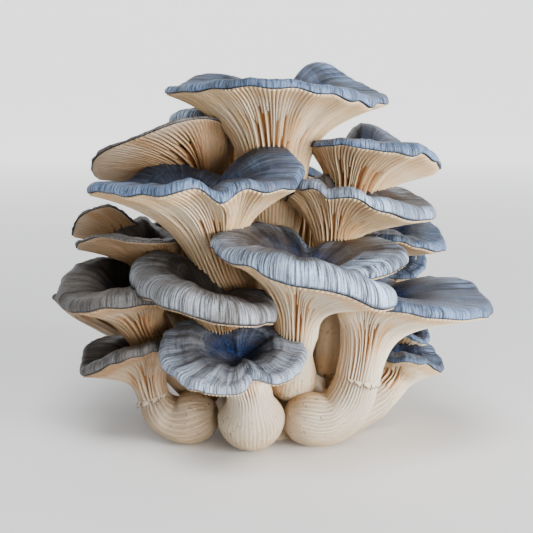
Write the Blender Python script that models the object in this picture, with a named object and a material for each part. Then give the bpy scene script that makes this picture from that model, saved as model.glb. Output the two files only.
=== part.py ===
"""A cluster of blue-grey oyster mushrooms standing on the base that their stems grow from.

Every mushroom is two solids: the cap, a wavy funnel whose margin rolls down, and the cream
stem, which widens into the gilled underside of the cap. The base is the lump at the bottom
where the stems grow together. Sizes below are in millimetres, +X to the right, +Y to the
back and +Z up, and the origin is in the middle of the flat that the cluster stands on.
"""

import math
from dataclasses import dataclass

import bmesh
import bpy
import numpy as np
from mathutils import Matrix, Vector
from mathutils.bvhtree import BVHTree

MM = 0.001
CLEARANCE = 0.35  # kept between two solids that touch

# The cap's flesh, and the way its margin rolls over.
ROLL_ANGLE = math.radians(112)
CAP_THICKNESS = 0.9  # and a share of the margin's roll
ROLL_SHARE = 0.4
THROAT_THICKNESS = 4.0
MARGIN_STEP = 0.9  # the gills end this far inside the margin's edge, and this far below it
MARGIN_DROP = 0.7
INNER_SHARE = 0.78  # where the cap's inner face turns from the margin to the funnel
FUNNEL_SHARE = 0.24  # where the funnel's ring is, and the shoulder's
SHOULDER_SHARE = 0.6
DIMPLE = 0.12  # rounds the bottom of the funnel
RIM_STEP = math.radians(4)  # over which the rim's direction is taken
RIM_SAMPLES = 721

# A hidden mushroom's rim: its mean reach, how much it leans outward, and its waves.
FAN_STEP = 30
FAN_MEAN = 0.80
FAN_LEAN = 0.22
FAN_WAVES = (0.10, 0.07)
FAN_LIFTS = (0.30, 0.25)
FAN_DROOP = 0.2

# The gills, fewer and larger than life.
RIDGE_HEIGHT = 1.9
GILL_STEPS = ((0.0, 0.6), (0.42, 1.0), (0.78, 0.85))  # share of the way up, ridge
NECK_PULL = 0.75  # how far the gills keep the stem's direction, as a share of the flare
MARGIN_PULL = np.array([0.72, 0.72, 0.2])  # how they come in to the stem from the margin
SLOPE_STEP = 0.01  # over which the gilled face's own direction is taken
LINE_SAMPLES = 101

STEM_STEPS = (0.0, 0.5)  # share of the way from the foot to the neck
FOOT_LATITUDES = (math.radians(62), math.radians(30))
WAIST = 0.6  # the stem is thinnest at this share of the way from the foot to the neck
ROOM_FLOOR = -10.0  # a cutter runs through the ground

BASE_RADIUS = 32.0
BASE_DEPTH = 41.0
BASE_HEIGHT = 35.0
BASE_MIDDLE = (2.0, 4.0)
BASE_SIDES = 24
BASE_LATITUDES = tuple(math.radians(a) for a in (0, 24, 46, 68))
BASE_LUMPS = (0.05, 0.04)
BASE_WAVE = 1.5
SEED = 7

CAP_COLOUR = (0.235, 0.285, 0.37, 1.0)
STEM_COLOUR = (0.80, 0.70, 0.56, 1.0)
BASE_COLOUR = (0.74, 0.66, 0.55, 1.0)
CAP_ROUGHNESS = 0.6
STEM_ROUGHNESS = 0.7
BASE_ROUGHNESS = 0.75
SHARP_ANGLE = math.radians(50)


@dataclass(frozen=True)
class Mushroom:
    """One fruit body. The rim is the crest of the margin, seen from the throat of the funnel."""

    name: str
    throat: tuple  # the lowest point of the funnel
    knee: tuple  # the stem bends towards this point
    foot: tuple  # the middle of the stem's swollen lower end
    rim: tuple  # (azimuth in degrees, reach, rise[, roll]) round the throat
    neck: float  # radius of the stem where the gills begin
    waist: float  # radius of the stem at its thinnest
    swelling: float  # radius of the foot
    flare: float  # how far below the throat the gills begin
    roll: float = 4.5  # radius of the rolled margin
    shoulder: float = 2.0  # how far the cap bulges between throat and margin
    sides: int = 36  # two for each gill ridge


def fan_rim(outward, reach, rise, seed):
    """A wavy rim that reaches furthest in the outward direction, in degrees."""
    draw = np.random.default_rng(seed)
    phases = draw.uniform(0, 2 * math.pi, 4)
    points = []
    for azimuth in range(0, 360, FAN_STEP):
        a = math.radians(azimuth)
        facing = math.cos(a - math.radians(outward))
        wave = FAN_WAVES[0] * math.sin(2 * a + phases[0]) + FAN_WAVES[1] * math.sin(3 * a + phases[1])
        lift = FAN_LIFTS[0] * math.sin(2 * a + phases[2]) + FAN_LIFTS[1] * math.sin(3 * a + phases[3])
        out = reach * (FAN_MEAN + FAN_LEAN * facing + wave)
        points.append((azimuth, out, rise * (1 + lift - FAN_DROOP * facing)))
    return tuple(points)


MUSHROOMS = (
    Mushroom(
        "front", throat=(-13, -62, 46), knee=(-7, -55, 34), foot=(-7, -49, 15.4),
        rim=((4, 31, 7), (33, 32, 10), (64, 27, 14), (92, 17, 12), (118, 26, 15), (140, 34, 14),
             (160, 36, 12), (182, 35, 7), (211, 34, 2), (240, 33, -1), (266, 30, -3), (291, 19, 0),
             (312, 29, 0), (335, 31, 3)),
        neck=9.5, waist=10.5, swelling=15.4, flare=15, roll=3.0, shoulder=3.0, sides=30,
    ),
    Mushroom(
        "centre", throat=(15, -57, 80), knee=(14, -48, 56), foot=(11.5, -33, 31.5),
        rim=((12, 50, 13, 4.5), (37, 52, 17), (57, 43, 16), (79, 29, 13), (97, 43, 20), (117, 43, 23),
             (148, 39, 24), (185, 40, 22), (213, 41, 20), (237, 44, 21, 5.0), (260, 47, 19, 7.0),
             (282, 48, 16, 8.0), (302, 50, 12, 8.5), (320, 50, 6, 7.5), (334, 42, 4, 5.0),
             (343, 25, 6), (350, 22, 7), (358, 36, 9)),
        neck=9.5, waist=9.0, swelling=12.8, flare=28, roll=3.6, sides=30,
    ),
    Mushroom(
        "rolled_left", throat=(-24, -52, 69), knee=(-19, -38, 49), foot=(-14, -29, 29),
        rim=((0, 27, 8), (44, 17, 5), (90, 17, 8), (119, 35, 17), (137, 39, 22), (156, 39, 22),
             (180, 38, 19), (213, 36, 17), (245, 39, 15), (272, 42, 11), (292, 43, 9), (316, 36, 6),
             (341, 30, 7)),
        neck=8.0, waist=8.0, swelling=10.0, flare=24, roll=6.5, sides=30,
    ),
    Mushroom(
        "right_shelf", throat=(45, -39, 66), knee=(47, -40, 7), foot=(20.5, -43, 13),
        rim=((9, 61, 4), (28, 61, 8), (42, 54, 8), (57, 44, 5), (72, 38, 10), (89, 24, 8),
             (130, 12, 4), (186, 12, 3), (242, 23, 8), (262, 34, 11), (276, 40, 12),
             (295, 47, 10), (315, 53, 7), (343, 58, 4)),
        neck=10.0, waist=11.5, swelling=13.0, flare=32, roll=3.6, sides=30,
    ),
    Mushroom(
        "left_shelf", throat=(-36, -35, 104), knee=(-4, -27, 66), foot=(-9, -14, 35),
        rim=((10, 50, 33.5), (29, 48, 34.5), (52, 39, 20), (82, 37, 22.5), (104, 41, 25.5),
             (126, 42, 24), (142, 41, 19), (172, 48, 17, 2.4), (201, 44, 21), (230, 41, 21),
             (259, 43, 22), (277, 45, 25), (292, 44, 19), (306, 48, 24), (329, 51, 22), (352, 54, 26)),
        neck=11.5, waist=11.0, swelling=11.0, flare=34, roll=3.2, sides=30,
    ),
    Mushroom(
        "crown", throat=(4, -2, 149), knee=(3, 4, 92), foot=(3, 8, 40),
        rim=((4, 56, 14), (22, 55, 16.5), (40, 53, 23), (58, 48, 30), (73, 45, 21), (88, 45, 19.5),
             (110, 46, 19.5), (136, 50, 24.5), (161, 53, 18.5), (187, 53, 17, 2.0), (229, 50, 20),
             (263, 54, 21.5), (294, 51, 19), (325, 49, 16, 4.5), (345, 51, 13)),
        neck=16.0, waist=12.5, swelling=14.0, flare=30, roll=2.9, sides=36,
    ),
    Mushroom(
        "right_middle", throat=(31, -25, 105), knee=(31, -25, 66), foot=(29, -22, 34),
        rim=((4, 50, 6), (24, 50, 9), (40, 45, 13), (62, 36, 9), (96, 26, 20), (134, 22, 13),
             (190, 23, 14), (228, 26, 20), (250, 30, 20.5), (263, 29, 16.5), (282, 32, 18),
             (300, 34, 14, 4.0), (320, 38, 12, 5.5), (342, 45, 8, 5.0)),
        neck=7.5, waist=5.5, swelling=7.0, flare=20, roll=3.0, sides=24,
    ),
    Mushroom(
        "left_dark", throat=(-66, -30, 65), knee=(-50, -28, 38), foot=(-32, -22, 22),
        rim=((20, 22, 10), (69, 29, 15), (101, 36, 17), (120, 38, 18), (155, 33, 16), (195, 33, 10),
             (222, 34, 8), (246, 38, 10), (270, 42, 13), (300, 36, 13), (345, 25, 11)),
        neck=9.5, waist=8.5, swelling=10.0, flare=24, roll=4.5, sides=24,
    ),
    Mushroom(
        "lower_left", throat=(-56, -36, 37), knee=(-54, -37, 6), foot=(-35, -38, 12.5),
        rim=((46, 19, 13), (94, 22, 6), (135, 28, 10), (161, 31, 10), (184, 31, 7), (204, 33, 3),
             (222, 31, 8, 4.0), (237, 29, 12, 4.5), (260, 27, 14), (286, 24, 16), (334, 19, 16)),
        neck=7.0, waist=10.0, swelling=12.5, flare=14, roll=2.8, sides=18,
    ),
    Mushroom(
        "upper_left", throat=(-31, 12, 130), knee=(-25, 16, 96), foot=(-16, 16, 40),
        rim=((10, 18, 12), (45, 20, 16), (78, 21, 20), (112, 25, 21), (155, 40, 4), (176, 53, -8),
             (191, 56.5, -3), (216, 58, 7.5), (238, 52, 15.5), (259, 44, 22), (279, 31, 23),
             (313, 20, 18)),
        neck=7.5, waist=7.0, swelling=8.5, flare=24, roll=1.0, shoulder=0.5, sides=24,
    ),
    Mushroom(
        "upper_right", throat=(48, 0, 127), knee=(34, 3, 92), foot=(23, 3, 40),
        rim=((5, 37.5, 1, 2.2), (29, 36, 0), (54, 36, 13), (88, 34, 21), (112, 25, 12), (150, 25, 12),
             (184, 28, 13), (220, 31, 15), (252, 34, 16), (280, 36, 14.5, 3.2), (317, 37, 13, 4.0),
             (345, 37.5, 6, 2.8)),
        neck=12.0, waist=10.0, swelling=9.0, flare=28, roll=2.3, sides=24,
    ),
    Mushroom(
        "left_middle", throat=(-56, -16, 86), knee=(-42, -11, 62), foot=(-34, -7, 32),
        rim=((12, 17, 9), (55, 18, 9), (82, 21, 11), (106, 26, 16), (130, 31, 11), (153, 36, 4),
             (180, 36, 5), (204, 35, 10), (230, 32, 14), (254, 31, 13), (280, 27, 11.5), (320, 19, 10)),
        neck=7.0, waist=6.5, swelling=8.0, flare=20, roll=0.9, shoulder=1.0, sides=18,
    ),
    Mushroom(
        "right_blue", throat=(61, 6, 91), knee=(47, 7, 64), foot=(37, 4, 34),
        rim=((14, 29, 4), (43, 30, 8), (70, 28, 9), (103, 22, 6), (145, 15, 4), (190, 14, 3),
             (232, 19, 5), (270, 28, 6), (292, 28, 3), (319, 28, 1, 3.2), (349, 29, 1, 4.0)),
        neck=6.0, waist=6.0, swelling=7.5, flare=18, roll=2.2, sides=18,
    ),
    Mushroom(
        "lower_right", throat=(66, -1, 28), knee=(58, -14, 10), foot=(37, -29, 13),
        rim=((13, 24, 3), (39, 25, 7), (66, 24, 7), (103, 17, 6), (150, 14, 5), (195, 13, 6),
             (255, 21, 9), (276, 25, 10), (299, 25, 8), (336, 24, 1)),
        neck=8.5, waist=10.0, swelling=13.0, flare=18, roll=2.0, sides=18,
    ),
    Mushroom(
        "left_back", throat=(-74, 16, 88), knee=(-57, 17, 62), foot=(-37, 12, 30),
        rim=((20, 15, 8), (59, 16, 9), (116, 20, 11), (154, 22, 8), (201, 26, 6), (227, 28, 16),
             (250, 28, 21), (267, 25, 22), (294, 20, 14), (331, 15, 8)),
        neck=6.0, waist=5.5, swelling=7.5, flare=18, roll=0.9, shoulder=0.5, sides=18,
    ),
    Mushroom(
        "left_tip", throat=(-95, -8, 58), knee=(-76, -3, 46), foot=(-38, -2, 26),
        rim=((0, 9, 3), (60, 9, 3), (120, 10, 5), (160, 10.5, 7), (200, 11, 8), (240, 10.5, 7),
             (285, 9.5, 5), (325, 9, 3)),
        neck=4.0, waist=4.5, swelling=6.0, flare=10, roll=1.6, shoulder=0.5, sides=12,
    ),
    Mushroom(
        "left_hook", throat=(-68, 6, 41), knee=(-55, 6, 27), foot=(-36, 6, 15),
        rim=fan_rim(200, 13, 5, 22),
        neck=4.0, waist=4.5, swelling=6.5, flare=12, roll=1.8, shoulder=0.5, sides=12,
    ),
    Mushroom(
        "right_small", throat=(74, 18, 37), knee=(60, 14, 20), foot=(38, 8, 14),
        rim=fan_rim(340, 12, 5, 23),
        neck=4.0, waist=4.5, swelling=6.5, flare=12, roll=1.8, shoulder=0.5, sides=12,
    ),
    Mushroom(
        "right_behind", throat=(65, 24, 70), knee=(51, 22, 50), foot=(37, 16, 30),
        rim=((0, 19, 9), (40, 18, 14), (80, 17, 13), (130, 14, 8), (190, 13, 6), (250, 14, 3),
             (310, 17, 3)),
        neck=5.0, waist=5.5, swelling=7.5, flare=16, roll=2.0, sides=12,
    ),
    Mushroom(
        "back_high", throat=(0, 60, 110), knee=(2, 48, 78), foot=(2, 32, 36),
        rim=fan_rim(90, 40, 15, 31), neck=8.5, waist=8.0, swelling=9.5, flare=28, sides=18,
    ),
    Mushroom(
        "back_left_high", throat=(-23, 45, 139), knee=(-20, 38, 90), foot=(-16, 28, 36),
        rim=fan_rim(110, 29, 15, 32), neck=7.5, waist=7.0, swelling=8.5, flare=24, sides=18,
    ),
    Mushroom(
        "back_right_high", throat=(23, 46, 102), knee=(21, 38, 72), foot=(18, 26, 36),
        rim=fan_rim(60, 33, 12, 33), neck=7.5, waist=7.0, swelling=8.5, flare=24, sides=18,
    ),
    Mushroom(
        "back_left", throat=(-46, 42, 82), knee=(-38, 32, 56), foot=(-26, 20, 30),
        rim=fan_rim(130, 27, 13, 40), neck=7.0, waist=6.5, swelling=8.5, flare=22, sides=18,
    ),
    Mushroom(
        "back_right", throat=(52, 44, 84), knee=(44, 34, 58), foot=(30, 20, 32),
        rim=fan_rim(50, 26, 11, 41), neck=7.0, waist=6.5, swelling=8.5, flare=22, sides=18,
    ),
    Mushroom(
        "back_left_middle", throat=(-36, 72, 72), knee=(-26, 60, 44), foot=(-16, 40, 24),
        rim=fan_rim(115, 34, 13, 34), neck=7.5, waist=7.5, swelling=9.5, flare=24, sides=18,
    ),
    Mushroom(
        "back_right_middle", throat=(36, 74, 66), knee=(26, 60, 42), foot=(16, 40, 24),
        rim=fan_rim(70, 34, 13, 35), neck=7.5, waist=7.5, swelling=9.5, flare=24, sides=18,
    ),
    Mushroom(
        "back_left_low", throat=(-54, 50, 42), knee=(-44, 38, 20), foot=(-28, 26, 12),
        rim=fan_rim(110, 25, 9, 36), neck=6.5, waist=7.5, swelling=10.5, flare=17, sides=18,
    ),
    Mushroom(
        "back_right_low", throat=(56, 50, 40), knee=(46, 38, 20), foot=(30, 24, 12),
        rim=fan_rim(75, 25, 9, 37), neck=6.5, waist=7.5, swelling=10.5, flare=17, sides=18,
    ),
    Mushroom(
        "back_low", throat=(2, 80, 36), knee=(1, 64, 18), foot=(0, 44, 13),
        rim=fan_rim(90, 30, 9, 38), neck=7.5, waist=9.0, swelling=13.0, flare=15, sides=18,
    ),
)


def row(vector, count):
    """The vector repeated, as an array of points."""
    return np.tile(np.asarray(vector, float), (count, 1))


def unit(vectors):
    """Vectors brought to length 1."""
    return vectors / np.linalg.norm(vectors, axis=-1, keepdims=True)


def outward(angles):
    """Level directions at these azimuths."""
    return np.stack([np.cos(angles), np.sin(angles), np.zeros_like(angles)], axis=1)


def rim_values(mushroom, angles):
    """Columns of reach to the crest, rise and roll at these azimuths, by a smooth closed curve."""
    knots = np.array([(*point, mushroom.roll)[:4] for point in sorted(mushroom.rim)], float)
    knots[:, 1] -= knots[:, 3]
    turn = np.array([360.0, 0.0, 0.0, 0.0])
    knots = np.vstack([knots[-2:] - turn, knots, knots[:2] + turn])
    at, values = np.radians(knots[:, 0]), knots[:, 1:]
    slopes = (values[2:] - values[:-2]) / (at[2:] - at[:-2])[:, None]
    at, values = at[1:-1], values[1:-1]
    angles = np.mod(angles, 2 * math.pi)
    left = np.clip(np.searchsorted(at, angles, side="right") - 1, 0, len(at) - 2)
    span = at[left + 1] - at[left]
    u = ((angles - at[left]) / span)[:, None]
    span = span[:, None]
    return (
        (1 + 2 * u) * (1 - u) ** 2 * values[left]
        + u * (1 - u) ** 2 * span * slopes[left]
        + u * u * (3 - 2 * u) * values[left + 1]
        + u * u * (u - 1) * span * slopes[left + 1]
    )


def crest(mushroom, angles):
    """Points along the top of the margin."""
    reach, rise, _ = rim_values(mushroom, angles).T
    points = row(mushroom.throat, len(angles)) + outward(angles) * reach[:, None]
    points[:, 2] += rise
    return points


def margin_normals(mushroom, angles):
    """Level directions that point out of the rim, halfway between its own normal and the azimuth."""
    along = crest(mushroom, angles + RIM_STEP) - crest(mushroom, angles - RIM_STEP)
    along[:, 2] = 0
    normals = unit(np.stack([along[:, 1], -along[:, 0], np.zeros(len(angles))], axis=1))
    return unit(normals + outward(angles))


def even_angles(mushroom):
    """Azimuths of the gill ridges, spaced partly by angle and partly by length along the rim."""
    fine = np.linspace(0, 2 * math.pi, RIM_SAMPLES)
    points = crest(mushroom, fine)
    lengths = np.linalg.norm(np.diff(points, axis=0), axis=1)
    share = lengths / lengths.sum() + 1 / len(lengths)
    travelled = np.concatenate([[0], np.cumsum(share)]) / share.sum()
    wanted = np.arange(mushroom.sides) / mushroom.sides
    return np.interp(wanted, travelled, fine)


def cap_top(mushroom, angles, share):
    """Points on the cap's upper face, from the throat at share 0 to the crest at share 1."""
    reach, rise, _ = rim_values(mushroom, angles).T
    rounded = share * share * (1 + DIMPLE) / (share + DIMPLE)
    height = rise * (1 - (1 - rounded) ** 2) + mushroom.shoulder * math.sin(math.pi * rounded) ** 2
    points = row(mushroom.throat, len(angles)) + outward(angles) * (reach * share)[:, None]
    points[:, 2] += height
    return points


def margin(mushroom, angles, turn, grow=0.0):
    """Points on the rolled margin, turned this far over from the crest."""
    roll = rim_values(mushroom, angles)[:, 2]
    sideways = (roll + grow) * math.sin(turn)
    points = crest(mushroom, angles) + margin_normals(mushroom, angles) * sideways[:, None]
    points[:, 2] += (roll + grow) * math.cos(turn) - roll
    return points


def stem_line(mushroom, share):
    """A point and the direction of the stem's middle line, from the foot at 0 to the throat at 1."""
    foot, knee, throat = (np.array(p, float) for p in (mushroom.foot, mushroom.knee, mushroom.throat))
    point = (1 - share) ** 2 * foot + 2 * share * (1 - share) * knee + share * share * throat
    direction = (1 - share) * (knee - foot) + share * (throat - knee)
    return point, direction / np.linalg.norm(direction)


def neck_share(mushroom):
    """How far up the middle line the gills begin."""
    shares = np.linspace(1, 0, LINE_SAMPLES)
    points = np.array([stem_line(mushroom, s)[0] for s in shares])
    travelled = np.concatenate([[0], np.cumsum(np.linalg.norm(np.diff(points, axis=0), axis=1))])
    return float(np.interp(mushroom.flare, travelled, shares))


def stem_ring(mushroom, angles, share, radius):
    """A ring of points square to the stem's middle line, turned the least from the rim's azimuths."""
    middle, direction = stem_line(mushroom, share)
    axis = np.cross([0.0, 0.0, 1.0], direction)
    level = outward(angles)
    once = np.cross(axis, level)
    facing = level + once + np.cross(axis, once) / (1 + direction[2])
    return middle + facing * radius


def gill_face(mushroom, angles, share, grow=0.0):
    """Points on the gilled face, from the neck at share 0 to the margin at share 1."""
    start_share = neck_share(mushroom)
    start = stem_ring(mushroom, angles, start_share, mushroom.neck + grow)
    direction = stem_line(mushroom, start_share)[1]
    normals = margin_normals(mushroom, angles)
    end = margin(mushroom, angles, ROLL_ANGLE) + normals * (grow - MARGIN_STEP)
    end[:, 2] -= MARGIN_DROP + grow
    first = start + direction * NECK_PULL * mushroom.flare
    second = end + (start - end) * MARGIN_PULL
    u = share
    return (1 - u) ** 3 * start + 3 * u * (1 - u) ** 2 * first + 3 * u * u * (1 - u) * second + u**3 * end


def gill_ridges(mushroom, angles, share, height):
    """The gilled face with every other point raised into a ridge."""
    lower, upper = max(share - SLOPE_STEP, 0), share + SLOPE_STEP
    along = gill_face(mushroom, angles, upper) - gill_face(mushroom, angles, lower)
    across = gill_face(mushroom, angles + SLOPE_STEP, share) - gill_face(mushroom, angles - SLOPE_STEP, share)
    normals = unit(np.cross(across, along))
    raised = np.where(np.arange(len(angles)) % 2 == 0, 0.5, -0.5) * height
    return gill_face(mushroom, angles, share) + normals * raised[:, None]


def stem_radius(mushroom, step):
    """Radius at this share of the way from the foot to the neck."""
    if step < WAIST:
        near, far, u = mushroom.swelling, mushroom.waist, step / WAIST
    else:
        near, far, u = mushroom.waist, mushroom.neck, (step - WAIST) / (1 - WAIST)
    return near + (far - near) * u * u * (3 - 2 * u)


def foot_rings(mushroom, angles, grow=0.0):
    """Rings from the foot's rounded end to just under the neck, and the end's own point."""
    top = neck_share(mushroom)
    foot, direction = stem_line(mushroom, 0)
    rounding = mushroom.swelling + grow
    end = foot - direction * rounding
    rings = []
    for latitude in FOOT_LATITUDES:
        ring = stem_ring(mushroom, angles, 0, rounding * math.cos(latitude))
        rings.append(ring - direction * rounding * math.sin(latitude))
    for step in STEM_STEPS:
        rings.append(stem_ring(mushroom, angles, top * step, stem_radius(mushroom, step) + grow))
    floor = ROOM_FLOOR if grow else 0.0
    for ring in rings:
        ring[:, 2] = np.maximum(ring[:, 2], floor)
    end[2] = max(end[2], floor)
    return end, rings


class Shell:
    """A closed mesh made of rings of points, laced together with triangles, about its own origin."""

    def __init__(self, origin):
        self.origin = Vector(origin)
        self.bm = bmesh.new()

    def point(self, point):
        """A vertex at this point of the cluster."""
        return self.bm.verts.new((Vector(point) - self.origin) * MM)

    def ring(self, points):
        """Vertices at these points, in order."""
        return [self.point(p) for p in points]

    def lace(self, many, few):
        """Joins two rings; the first has a whole multiple of the second's points."""
        ratio, count = len(many) // len(few), len(few)
        for j in range(count):
            here, there = few[j], few[(j + 1) % count]
            for i in range(ratio):
                a = many[(ratio * j + i) % len(many)]
                b = many[(ratio * j + i + 1) % len(many)]
                self.bm.faces.new((a, b, here if i < (ratio + 1) // 2 else there))
            middle = many[(ratio * j + (ratio + 1) // 2) % len(many)]
            self.bm.faces.new((middle, there, here))

    def close(self, ring, point):
        """Closes a ring with a fan about one point."""
        tip = self.point(point)
        for i, a in enumerate(ring):
            self.bm.faces.new((a, ring[(i + 1) % len(ring)], tip))

    def finish(self, name, colour, roughness):
        """Makes the object, with its own material."""
        bmesh.ops.recalc_face_normals(self.bm, faces=self.bm.faces)
        mesh = bpy.data.meshes.new(name)
        self.bm.to_mesh(mesh)
        self.bm.free()
        mesh.shade_smooth()
        mesh.set_sharp_from_angle(angle=SHARP_ANGLE)
        obj = bpy.data.objects.new(name, mesh)
        obj.location = self.origin * MM
        obj.parent = bpy.data.objects["cluster"]
        bpy.context.scene.collection.objects.link(obj)
        obj.data.materials.append(finish_of(name, colour, roughness))
        return obj


def finish_of(name, colour, roughness):
    """A plain material of this colour."""
    material = bpy.data.materials.new(name)
    material.use_nodes = True
    shader = material.node_tree.nodes["Principled BSDF"]
    shader.inputs["Base Color"].default_value = colour
    shader.inputs["Roughness"].default_value = roughness
    shader.inputs["Metallic"].default_value = 0.0
    return material


def inner_face(mushroom, angles, drop):
    """The ring and the middle point where the cap lies on the flesh of the stem."""
    ring = cap_top(mushroom, angles[::2], INNER_SHARE)
    ring[:, 2] -= CAP_THICKNESS + ROLL_SHARE * mushroom.roll + drop
    middle = np.array(mushroom.throat, float) - np.array([0, 0, THROAT_THICKNESS + drop])
    return ring, middle


def make_cap(mushroom):
    """The cap: funnel, shoulder and rolled margin."""
    angles = even_angles(mushroom)
    shell = Shell(mushroom.throat)
    edge = shell.ring(margin(mushroom, angles, ROLL_ANGLE))
    rolled = shell.ring(margin(mushroom, angles, ROLL_ANGLE / 2))
    top = shell.ring(cap_top(mushroom, angles, 1.0))
    shoulder = shell.ring(cap_top(mushroom, angles[::2], SHOULDER_SHARE))
    funnel = shell.ring(cap_top(mushroom, angles[::2], FUNNEL_SHARE))
    shell.lace(edge, rolled)
    shell.lace(rolled, top)
    shell.lace(top, shoulder)
    shell.lace(shoulder, funnel)
    shell.close(funnel, mushroom.throat)
    ring, middle = inner_face(mushroom, angles, 0)
    under = shell.ring(ring)
    shell.lace(edge, under)
    shell.close(under, middle)
    return shell.finish(mushroom.name + "_cap", CAP_COLOUR, CAP_ROUGHNESS)


def make_stem(mushroom):
    """The stem with the gills that run down it from the cap's margin."""
    angles = even_angles(mushroom)
    shell = Shell(mushroom.foot)
    edge = shell.ring(gill_face(mushroom, angles, 1.0))
    ring, middle = inner_face(mushroom, angles, CLEARANCE)
    seat = shell.ring(ring)
    shell.lace(edge, seat)
    shell.close(seat, middle)
    below = edge
    for share, ridge in reversed(GILL_STEPS):
        gills = shell.ring(gill_ridges(mushroom, angles, share, RIDGE_HEIGHT * ridge))
        shell.lace(below, gills)
        below = gills
    end, rings = foot_rings(mushroom, angles[::3])
    for points in reversed(rings):
        stem = shell.ring(points)
        shell.lace(below, stem)
        below = stem
    shell.close(below, end)
    return shell.finish(mushroom.name + "_stem", STEM_COLOUR, STEM_ROUGHNESS)


def make_room(mushroom):
    """A cutter: the whole mushroom without its ridges, larger by the clearance all over."""
    grow = CLEARANCE + 0.5 * RIDGE_HEIGHT
    angles = even_angles(mushroom)
    shell = Shell(mushroom.throat)
    rings = [cap_top(mushroom, angles[::2], share) for share in (FUNNEL_SHARE, SHOULDER_SHARE)]
    rings.append(cap_top(mushroom, angles, 1.0))
    for points in rings:
        points[:, 2] += grow
    rings += [margin(mushroom, angles, ROLL_ANGLE * turn, grow) for turn in (0.5, 1.0)]
    rings += [gill_face(mushroom, angles, share, grow) for share, _ in reversed(GILL_STEPS)]
    end, stem = foot_rings(mushroom, angles[::3], grow)
    rings += reversed(stem)
    throat = np.array(mushroom.throat, float)
    throat[2] += grow
    laced = shell.ring(rings[0])
    shell.close(laced, throat)
    for points in rings[1:]:
        ring = shell.ring(points)
        if len(points) > len(laced):
            shell.lace(ring, laced)
        else:
            shell.lace(laced, ring)
        laced = ring
    shell.close(laced, end)
    room = shell.finish(mushroom.name + "_room", STEM_COLOUR, STEM_ROUGHNESS)
    room.hide_render = True
    room.display_type = "WIRE"
    return room


def make_base(grow=0.0):
    """The lump that the stems grow from, with its flat underside on the ground."""
    draw = np.random.default_rng(SEED)
    phases = draw.uniform(0, 2 * math.pi, 3)
    angles = np.linspace(0, 2 * math.pi, BASE_SIDES, endpoint=False)
    broad = BASE_LUMPS[0] * np.sin(3 * angles + phases[0])
    narrow = BASE_LUMPS[1] * np.sin(5 * angles + phases[1])
    lumps = 1 + broad + narrow
    shell = Shell((0, 0, 0))
    floor = -grow
    rings = []
    for latitude in BASE_LATITUDES:
        spread = math.cos(latitude)
        points = np.stack(
            [
                BASE_MIDDLE[0] + (BASE_RADIUS * spread * lumps + grow) * np.cos(angles),
                BASE_MIDDLE[1] + (BASE_DEPTH * spread * lumps + grow) * np.sin(angles),
                np.full(BASE_SIDES, floor + (BASE_HEIGHT + 2 * grow) * math.sin(latitude)),
            ],
            axis=1,
        )
        points[:, 2] += BASE_WAVE * math.sin(latitude) * np.sin(4 * angles + phases[2])
        rings.append(shell.ring(points))
    shell.close(rings[0], (*BASE_MIDDLE, floor))
    for lower, upper in zip(rings, rings[1:]):
        shell.lace(lower, upper)
    shell.close(rings[-1], (*BASE_MIDDLE, BASE_HEIGHT + grow))
    return shell.finish("base" if not grow else "base_room", BASE_COLOUR, BASE_ROUGHNESS)


def tree_of(obj):
    """A search tree of the object's triangles."""
    bm = bmesh.new()
    bm.from_mesh(obj.data)
    bm.transform(Matrix.Translation(obj.location))
    tree = BVHTree.FromBMesh(bm)
    bm.free()
    return tree


def keep_largest(obj):
    """Drops loose scraps that a cut has left."""
    bm = bmesh.new()
    bm.from_mesh(obj.data)
    left, bodies = set(bm.verts), []
    while left:
        seed = left.pop()
        body, frontier = {seed}, [seed]
        while frontier:
            for edge in frontier.pop().link_edges:
                for vertex in edge.verts:
                    if vertex in left:
                        left.remove(vertex)
                        body.add(vertex)
                        frontier.append(vertex)
        bodies.append(body)
    if len(bodies) > 1:
        bodies.sort(key=len, reverse=True)
        scraps = [v for body in bodies[1:] for v in body]
        bmesh.ops.delete(bm, geom=scraps, context="VERTS")
        bm.to_mesh(obj.data)
    bm.free()


def cut(obj, cutter):
    """Takes the cutter's shape out of the object."""
    modifier = obj.modifiers.new("Room", "BOOLEAN")
    modifier.operation = "DIFFERENCE"
    modifier.solver = "EXACT"
    modifier.object = cutter
    graph = bpy.context.evaluated_depsgraph_get()
    mesh = bpy.data.meshes.new_from_object(obj.evaluated_get(graph))
    obj.modifiers.clear()
    old, name = obj.data, obj.data.name
    obj.data = mesh
    bpy.data.meshes.remove(old)
    mesh.name = name
    keep_largest(obj)


def make_cluster():
    """Builds the base and the mushrooms; each one leaves room for those built before it."""
    for obj in list(bpy.data.objects):
        bpy.data.objects.remove(obj)
    cluster = bpy.data.objects.new("cluster", None)
    bpy.context.scene.collection.objects.link(cluster)
    make_base()
    base_room = make_base(CLEARANCE)
    base_room.hide_render = True
    base_room.display_type = "WIRE"
    rooms = [(base_room, tree_of(base_room))]
    for mushroom in MUSHROOMS:
        for piece in (make_cap(mushroom), make_stem(mushroom)):
            for room, tree in rooms:
                if tree.overlap(tree_of(piece)):
                    cut(piece, room)
        room = make_room(mushroom)
        rooms.append((room, tree_of(room)))
    for room, _ in rooms:
        bpy.data.objects.remove(room)


make_cluster()
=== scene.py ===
"""A cluster of blue-grey oyster mushrooms on a pale floor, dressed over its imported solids.

Each mushroom is a wavy funnel cap with a rolled margin, and a cream stem that widens into
gills. Both are grids bent round the mushroom's own line: one column for each side of a gill,
one row for each step from the throat of the cap to its margin, or from the margin down to the
foot. Sizes are in millimetres, +X to the right, +Y to the back and +Z up.
"""
import logging
import math
from dataclasses import dataclass, field
from enum import Enum

import bpy
import numpy as np
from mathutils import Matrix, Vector
from mathutils.bvhtree import BVHTree


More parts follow.
